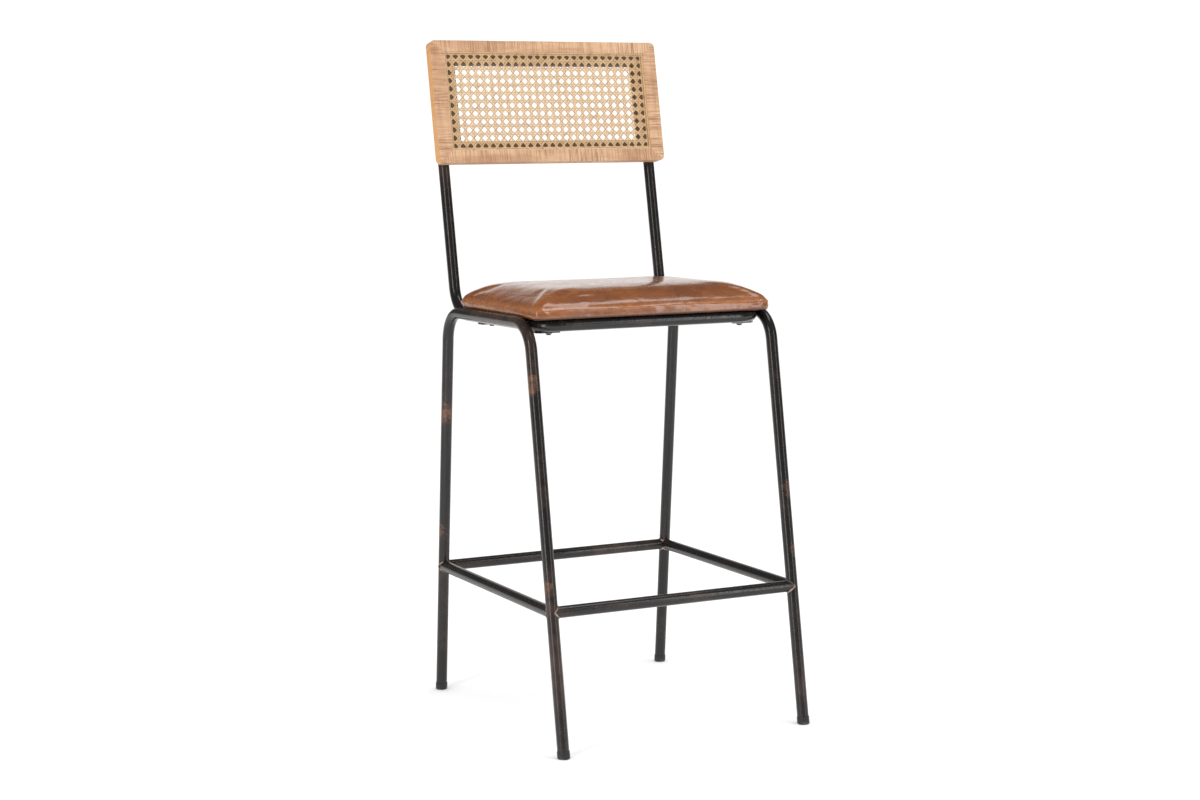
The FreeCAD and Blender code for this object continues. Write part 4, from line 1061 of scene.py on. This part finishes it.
class STOOL_OT_pad_seat(PieceOperator, bpy.types.Operator):
    """Swell the padded seat and cover it in leather"""
    bl_idname = "stool.pad_seat"
    bl_label = "Leather seat"

    def execute(self, context):
        settings = context.scene.stool_seat
        vertices, faces = seat_blank(settings)
        seat = new_piece("leather_seat", vertices, faces, leather_material(settings))
        remesh = seat.modifiers.new("even_mesh", "REMESH")
        remesh.mode = "VOXEL"
        remesh.voxel_size = settings.voxel
        remesh.use_smooth_shade = True
        apply_modifier(seat, remesh.name)
        swell(seat, settings)
        tuck_under(seat, settings)
        smooth = seat.modifiers.new("even_surface", "SMOOTH")
        smooth.factor = 0.5
        smooth.iterations = 2
        apply_modifier(seat, smooth.name)
        finer = seat.modifiers.new("finer_mesh", "SUBSURF")
        finer.levels = 1
        finer.render_levels = 1
        apply_modifier(seat, finer.name)
        shape_leather(seat, settings)
        seat.data.polygons.foreach_set("use_smooth", [True] * len(seat.data.polygons))
        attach(seat, BODY)
        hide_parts("seat_leather_cover", "seat_foam")
        return {"FINISHED"}


class STOOL_OT_finish_underside(PieceOperator, bpy.types.Operator):
    """Finish the board, the dust cloth and the fasteners"""
    bl_idname = "stool.finish_underside"
    bl_label = "Underside and fasteners"

    def execute(self, context):
        dress(["seat_board"], plywood_material())
        dress(["seat_dust_cover"], dust_cloth_material())
        black = fastener_material(
            "black_fasteners", (0.02, 0.019, 0.018), (0.06, 0.045, 0.035), 0.6, 0.38,
        )
        zinc = fastener_material(
            "zinc_fasteners", (0.55, 0.55, 0.53), (0.32, 0.31, 0.28), 1.0, 0.35,
        )
        dress(["seat_bolts", "back_screws"], black)
        dress(["seat_washers", "seat_tee_nuts"], zinc)
        return {"FINISHED"}


class STOOL_OT_weave_cane(PieceOperator, bpy.types.Operator):
    """Weave the cane of the back and lay its reeds"""
    bl_idname = "stool.weave_cane"
    bl_label = "Woven cane"

    def execute(self, context):
        settings = context.scene.stool_cane
        material = cane_material(settings)
        weaver = weave(settings)
        cane = new_piece("woven_cane", weaver.vertices, weaver.faces, material)
        shades = cane.data.attributes.new("strand_shade", "FLOAT", "POINT")
        shades.data.foreach_set("value", weaver.shades)
        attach(cane, BODY)
        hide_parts("cane_panel")
        dress([f"cane_spline_{side}" for side in ("top", "bottom", "left", "right")], material)
        return {"FINISHED"}


class STOOL_OT_finish_wood(PieceOperator, bpy.types.Operator):
    """Round the wood members' edges a little and give them their grain"""
    bl_idname = "stool.finish_wood"
    bl_label = "Wood members"

    def execute(self, context):
        settings = context.scene.stool_wood
        rails = wood_material("sawn_wood_rails", settings, 0.0)
        stiles = wood_material("sawn_wood_stiles", settings, math.radians(90))
        dress(["back_top_rail", "back_bottom_rail", "back_corner_dowels"], rails)
        dress(["back_left_stile", "back_right_stile"], stiles)
        for name in ("back_top_rail", "back_bottom_rail", "back_left_stile", "back_right_stile"):
            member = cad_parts[name]
            joined = member.modifiers.new("joined_faces", "WELD")
            joined.merge_threshold = 0.00002
            rounded = member.modifiers.new("rounded_edges", "BEVEL")
            rounded.width = settings.edge_round
            rounded.segments = 2
            rounded.limit_method = "ANGLE"
            rounded.angle_limit = math.radians(40)
        return {"FINISHED"}


class STOOL_OT_finish_plastics(PieceOperator, bpy.types.Operator):
    """Finish the feet and the caps of the uprights"""
    bl_idname = "stool.finish_plastics"
    bl_label = "Feet and caps"

    def execute(self, context):
        names = [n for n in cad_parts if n.startswith(("foot_glide_", "upright_cap_"))]
        dress(names, plastic_material(context.scene.stool_steel))
        return {"FINISHED"}


def add_softbox(name, place, aim, size, energy):
    """Hang a rectangular light at a place, turned to its aim."""
    lamp = bpy.data.lights.new(name, "AREA")
    lamp.shape = "RECTANGLE"
    lamp.size, lamp.size_y = size
    lamp.energy = energy
    light = bpy.data.objects.new(name, lamp)
    light.location = place
    light.rotation_euler = (Vector(aim) - Vector(place)).to_track_quat("-Z", "Y").to_euler()
    bpy.context.scene.collection.objects.link(light)


class STOOL_OT_set_stage(PieceOperator, bpy.types.Operator):
    """Lay the floor, hang the lights and place the camera"""
    bl_idname = "stool.set_stage"
    bl_label = "Stage"

    def execute(self, context):
        settings = context.scene.stool_stage
        scene = context.scene
        half = settings.floor_size / 2
        material, tree, shader, place = new_material(
            "pale_floor", roughness=0.85, specular_ior_level=0.1,
        )
        tone = noise_value(tree, place, 3.0, 3.0)
        pale = tuple(settings.floor)
        base = mix_colour(tree, ramp(tree, tone, 0.3, 0.7), pale, tuple(0.985 * c for c in pale))
        tree.links.new(base, shader.inputs["Base Color"])
        mesh = bpy.data.meshes.new("floor")
        corners = [(-half, -half, 0), (half, -half, 0), (half, half, 0), (-half, half, 0)]
        mesh.from_pydata(corners, [], [(0, 1, 2, 3)])
        mesh.materials.append(material)
        floor = bpy.data.objects.new("floor", mesh)
        scene.collection.objects.link(floor)

        world = bpy.data.worlds.new("studio")
        scene.world = world
        world.use_nodes = True
        sky = world.node_tree
        sky.nodes.clear()
        mirrored = add_node(sky, "ShaderNodeLightPath").outputs["Is Glossy Ray"]
        white = add_node(sky, "ShaderNodeBackground", {"Color": (1, 1, 1, 1), "Strength": settings.sky})
        heading = add_node(sky, "ShaderNodeVectorMath", operation="DOT_PRODUCT")
        sky.links.new(add_node(sky, "ShaderNodeTexCoord").outputs["Generated"], heading.inputs[0])
        heading.inputs[1].default_value = OPEN_SIDE
        behind = ramp(sky, heading.outputs["Value"], 0.80, 0.95, settings.flags, settings.sky)
        walls = add_node(sky, "ShaderNodeBackground", {"Color": (1, 0.99, 0.975, 1)},
                         {"Strength": behind})
        both = add_node(sky, "ShaderNodeMixShader", {}, {"Fac": mirrored})
        sky.links.new(white.outputs[0], both.inputs[1])
        sky.links.new(walls.outputs[0], both.inputs[2])
        out = add_node(sky, "ShaderNodeOutputWorld")
        sky.links.new(both.outputs[0], out.inputs["Surface"])

        add_softbox("left_strip", (-2.7, -1.5, 1.3), (0, 0, 0.7), (0.40, 2.6), 34)
        add_softbox("right_strip", (1.7, -2.9, 1.3), (0, 0, 0.7), (0.30, 2.6), 20)
        add_softbox("top_softbox", (0.95, -0.45, 3.0), (0.1, -0.1, 0.7), (1.3, 0.7), 13)

        camera = bpy.data.cameras.new("camera")
        camera.lens = settings.lens
        camera.sensor_width = 36
        camera.clip_start = 0.1
        camera.clip_end = 200
        viewer = bpy.data.objects.new("camera", camera)
        turn = Matrix((CAMERA_RIGHT, CAMERA_UP, CAMERA_BACK)).transposed().to_4x4()
        viewer.matrix_world = Matrix.Translation(CAMERA_PLACE) @ turn
        scene.collection.objects.link(viewer)
        scene.camera = viewer
        scene.view_settings.view_transform = "Standard"
        return {"FINISHED"}


OPERATORS = (
    STOOL_OT_mix_effects, STOOL_OT_set_stage, STOOL_OT_lacquer_frame, STOOL_OT_weld_footrest,
    STOOL_OT_finish_plastics, STOOL_OT_finish_underside, STOOL_OT_pad_seat, STOOL_OT_weave_cane,
    STOOL_OT_finish_wood,
)


class STOOL_PT_workshop(bpy.types.Panel):
    """Lists the stool's operators and settings"""
    bl_idname = "STOOL_PT_workshop"
    bl_label = "Bar stool"
    bl_space_type = "VIEW_3D"
    bl_region_type = "UI"
    bl_category = "Bar stool"

    def draw(self, context):
        column = self.layout.column(align=True)
        for operator in OPERATORS:
            column.operator(operator.bl_idname, text=operator.bl_label)
        for path, group in SETTINGS.items():
            box = self.layout.box()
            box.label(text=group.__doc__)
            for name in group.__annotations__:
                box.prop(getattr(context.scene, path), name)


def register():
    """Add the settings, the operators and the panel."""
    for group in SETTINGS.values():
        bpy.utils.register_class(group)
    for path, group in SETTINGS.items():
        setattr(bpy.types.Scene, path, bpy.props.PointerProperty(type=group))
    for operator in OPERATORS:
        bpy.utils.register_class(operator)
    bpy.utils.register_class(STOOL_PT_workshop)


def unregister():
    """Remove what register added."""
    bpy.utils.unregister_class(STOOL_PT_workshop)
    for operator in reversed(OPERATORS):
        bpy.utils.unregister_class(operator)
    for path, group in SETTINGS.items():
        delattr(bpy.types.Scene, path)
        bpy.utils.unregister_class(group)


def main():
    """Register everything, then make every piece in order."""
    register()
    for operator in OPERATORS:
        family, name = operator.bl_idname.split(".")
        getattr(getattr(bpy.ops, family), name)()


if __name__ == "__main__":
    main()
